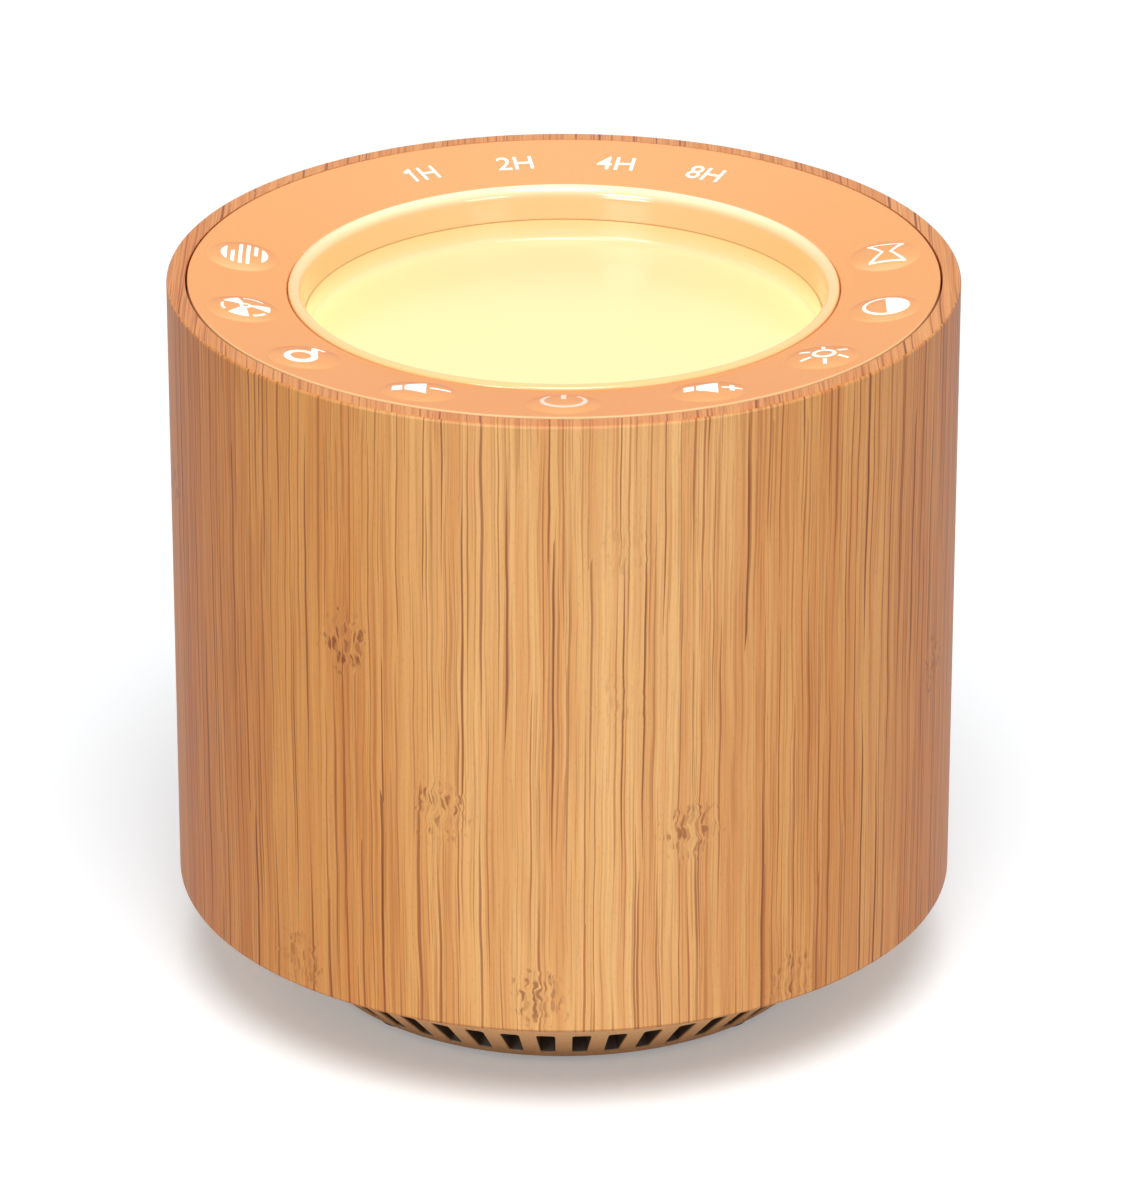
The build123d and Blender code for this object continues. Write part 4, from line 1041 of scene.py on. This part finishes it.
# %% Trim the signs to their domes
SIGN_PROUD, SIGN_DEPTH = 0.025, 0.9
CORE_GLOW, CORE_STRENGTH = "#FFFDF6", 0.3
lit_core = grainy("lit_white_core", "#FFFFFF", "#FBFAF6", 0.6, 0.4, 0.004)
core_shader = lit_core.node_tree.nodes["Principled BSDF"]
core_shader.inputs["Emission Color"].default_value = linear(CORE_GLOW)
core_shader.inputs["Emission Strength"].default_value = CORE_STRENGTH
unlit_core = grainy("unlit_white_core", "#FFEBDA", "#FCE4D0", 0.6, 0.4, 0.004)

for key, angle in key_angles.items():
    draw, *shift = signs[key]
    sign = draw()
    sign.name = key + "_sign"
    middle = Vector(polar(KEY_CIRCLE, angle)) + Vector(shift)
    sign.data.transform(Matrix.Translation(Vector((*middle, FACE + 2 - SIGN_DEPTH)) * MM))
    carve(sign, mound(SIGN_PROUD, angle), "INTERSECT")
    tidy(sign, angle=20)
    finish_with(sign, unlit_core if key == "power" else lit_core)
    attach(sign, key + "_button")
    print(sign.name, len(sign.data.polygons), "faces")

# %% [markdown]
# ## Timer labels
#
# Four labels behind the lamp say for how many hours the machine runs.  They are lettering in the
# same white core, so they are text made into a mesh.  The panel is a cone, but over the few
# millimetres of a label a plane that leans with it follows it closely enough.

# %% Set the labels
LABEL_CIRCLE, LETTER_HEIGHT = 41.2, 3.4
LABELS = {"1H": (116.4, 3.6), "2H": (99, 4.7), "4H": (80.5, 4.9), "8H": (63.4, 4.7)}
FLAG_SIZE, FLAG_TURN, FLAG_HEIGHT, FLAG_OUT, FLAG_SUNK = (1.15, 0.55), 38, 1.2, 0.05, 0.1

for label, (angle, width) in LABELS.items():
    letters = bpy.data.curves.new("label_" + label, "FONT")
    letters.body = label
    letters.extrude = 0.2
    letters.offset = 0.004
    writing = bpy.data.objects.new("timer_label_" + label, letters)
    bpy.context.scene.collection.objects.link(writing)
    only(writing)
    bpy.ops.object.convert(target="MESH")
    writing = bpy.context.object
    low, high = [
        Vector([edge(vert.co[i] for vert in writing.data.vertices) for i in range(3)])
        for edge in (min, max)
    ]
    size = high - low
    scale = (width * MM / size.x, LETTER_HEIGHT * MM / size.y, SIGN_DEPTH * MM / size.z)
    top_middle = Vector(((low.x + high.x) / 2, (low.y + high.y) / 2, high.z))
    writing.data.transform(Matrix.Translation(-top_middle))
    writing.data.transform(Matrix.Diagonal((*scale, 1)))
    tidy(writing, angle=20)
    if label[0] == "1":
        flag_place = (-width / 2 - FLAG_OUT, FLAG_HEIGHT)
        joined(writing, bar(*FLAG_SIZE, flag_place, FLAG_TURN, FLAG_SUNK - SIGN_DEPTH, 0.0))
    place = polar(LABEL_CIRCLE, angle) + (panel_height(LABEL_CIRCLE) + SIGN_PROUD,)
    writing.data.transform(Matrix.Rotation(math.radians(PANEL_SLOPE), 4, "X"))
    writing.data.transform(Matrix.Rotation(math.radians(angle - 90), 4, "Z"))
    writing.data.transform(Matrix.Translation(Vector(place) * MM))
    tidy(writing, angle=20)
    finish_with(writing, lit_core)
    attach(writing, "housing")
    print(writing.name, len(writing.data.polygons), "faces")

# %% [markdown]
# ## The speaker's soft rings
#
# The cone hangs in a rubber surround and a cotton spider, which give way as it moves.  Each ring is
# cut into sectors like a cake.

# %% Soft rings cut into sectors
SOFT_RINGS = {
    "cone_surround": ("soft_rubber", 12, 21.8, 24.2),
    "cone_spider": ("spider_cloth", 8, 8.7, 19.2),
}
SLICE_REACH = 40.0

for name, (slot, count, inner, outer) in SOFT_RINGS.items():
    low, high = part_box(name)
    half = 180 / count
    for i in range(count):
        middle = 2 * half * i
        part = bpy.data.objects.new(f"{name}_sector_{i + 1}", nodes[name].data.copy())
        bpy.context.scene.collection.objects.link(part)
        tidy(part)
        cake_slice = outline(wedge(middle - half, middle + half, SLICE_REACH))
        cake_slice.data.transform(Matrix.Translation((0, 0, (low[2] + high[2]) / 2)))
        carve(part, cake_slice, "INTERSECT")
        finish_with(part, finishes[slot])
        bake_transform(part)
        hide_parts(name)
    print(name, "in", count, "sectors of", len(part.data.polygons), "faces")

# %% [markdown]
# ## The studio
#
# A white table under an even sky of light, with one large soft lamp high in front.  The table is a
# plain diffuse sheet.  For the camera alone it is lifted by a little light of its own, so that it
# is white away from the machine and keeps the soft shadow under it.

# %% The table, a hair below the soles of the feet
TABLE_SIZE, TABLE_DROP, TABLE_LIFT = 8.0, 0.03, 0.28

bpy.ops.object.select_all(action="DESELECT")
bpy.ops.mesh.primitive_plane_add(size=TABLE_SIZE, location=(0, 0, -TABLE_DROP * MM))
table = added("table")
white_sheet, tree, shader = material("white_sheet", 0.9, 0.0)
shader.inputs["Base Color"].default_value = linear("#E3E7EA")
shader.inputs["Emission Color"].default_value = (1, 1, 1, 1)
seen_by_camera = node(tree, "LightPath")["Is Camera Ray"]
lift = node(tree, "Math", (seen_by_camera, TABLE_LIFT), operation="MULTIPLY")[0]
connect(tree, lift, shader, "Emission Strength")
finish_with(table, white_sheet)
print("table laid")

# %% [markdown]
# The sky is white to the camera and to reflections, and dimmer as a source of light, so that the
# lamp can model the shapes.  The lamp is as wide as a large softbox nearby, and as even as one
# that is far away.

# %% The sky and the lamp
SKY_LIGHT = 0.33
LAMP_LEVEL, LAMP_WIDTH = 2.42, 30.0
LAMP_HEIGHT, LAMP_SIDE = 60.0, 3.0

sky = bpy.data.worlds.new("studio_sky")
sky.use_nodes = True
bpy.context.scene.world = sky
tree = sky.node_tree
background = tree.nodes["Background"]
background.inputs["Color"].default_value = (1, 1, 1, 1)
rays = node(tree, "LightPath")
seen = rays["Is Camera Ray"]
for ray in ("Is Transmission Ray", "Is Glossy Ray"):
    seen = node(tree, "Math", (seen, rays[ray]), operation="MAXIMUM")[0]
level = node(tree, "MapRange", (seen, 0, 1, SKY_LIGHT, 1.0), **SMOOTH)[0]
connect(tree, level, background, "Strength")

softbox = bpy.data.lights.new("softbox", "SUN")
softbox.energy = LAMP_LEVEL
softbox.angle = math.radians(LAMP_WIDTH)
lamp = bpy.data.objects.new("softbox", softbox)
bpy.context.scene.collection.objects.link(lamp)
lamp.rotation_euler = (math.radians(90 - LAMP_HEIGHT), 0, math.radians(LAMP_SIDE))
print("sky and softbox lit")

# %% [markdown]
# Small strip lamps in front draw the streaks of light on the bead's glossy slope.  They only show
# in reflections, so they change nothing else.

# %% The strip lamps
STRIP_SIZE, STRIP_AWAY = (0.3, 0.09), 1.0
STRIPS = {
    "right_streak": (242.0, 23.0, 3.6),
    "low_streak": (242.0, 8.0, 2.4),
    "left_streak": (304.0, 18.0, 1.2),
}

for name, (turned, raised, power) in STRIPS.items():
    strip = bpy.data.lights.new(name, "AREA")
    strip.shape = "RECTANGLE"
    strip.size, strip.size_y = STRIP_SIZE
    strip.energy = power
    holder = bpy.data.objects.new(name, strip)
    bpy.context.scene.collection.objects.link(holder)
    flat = math.cos(math.radians(raised)) * STRIP_AWAY
    place = Vector((*polar(flat, turned), math.sin(math.radians(raised)) * STRIP_AWAY + FACE * MM))
    holder.location = place
    holder.rotation_euler = (place - Vector((0, 0, FACE * MM))).to_track_quat("Z", "Y").to_euler()
    holder.visible_diffuse = holder.visible_camera = False
    print(name, "at", [round(x, 3) for x in place])

bpy.context.scene.view_settings.view_transform = "Standard"
print("studio lit")
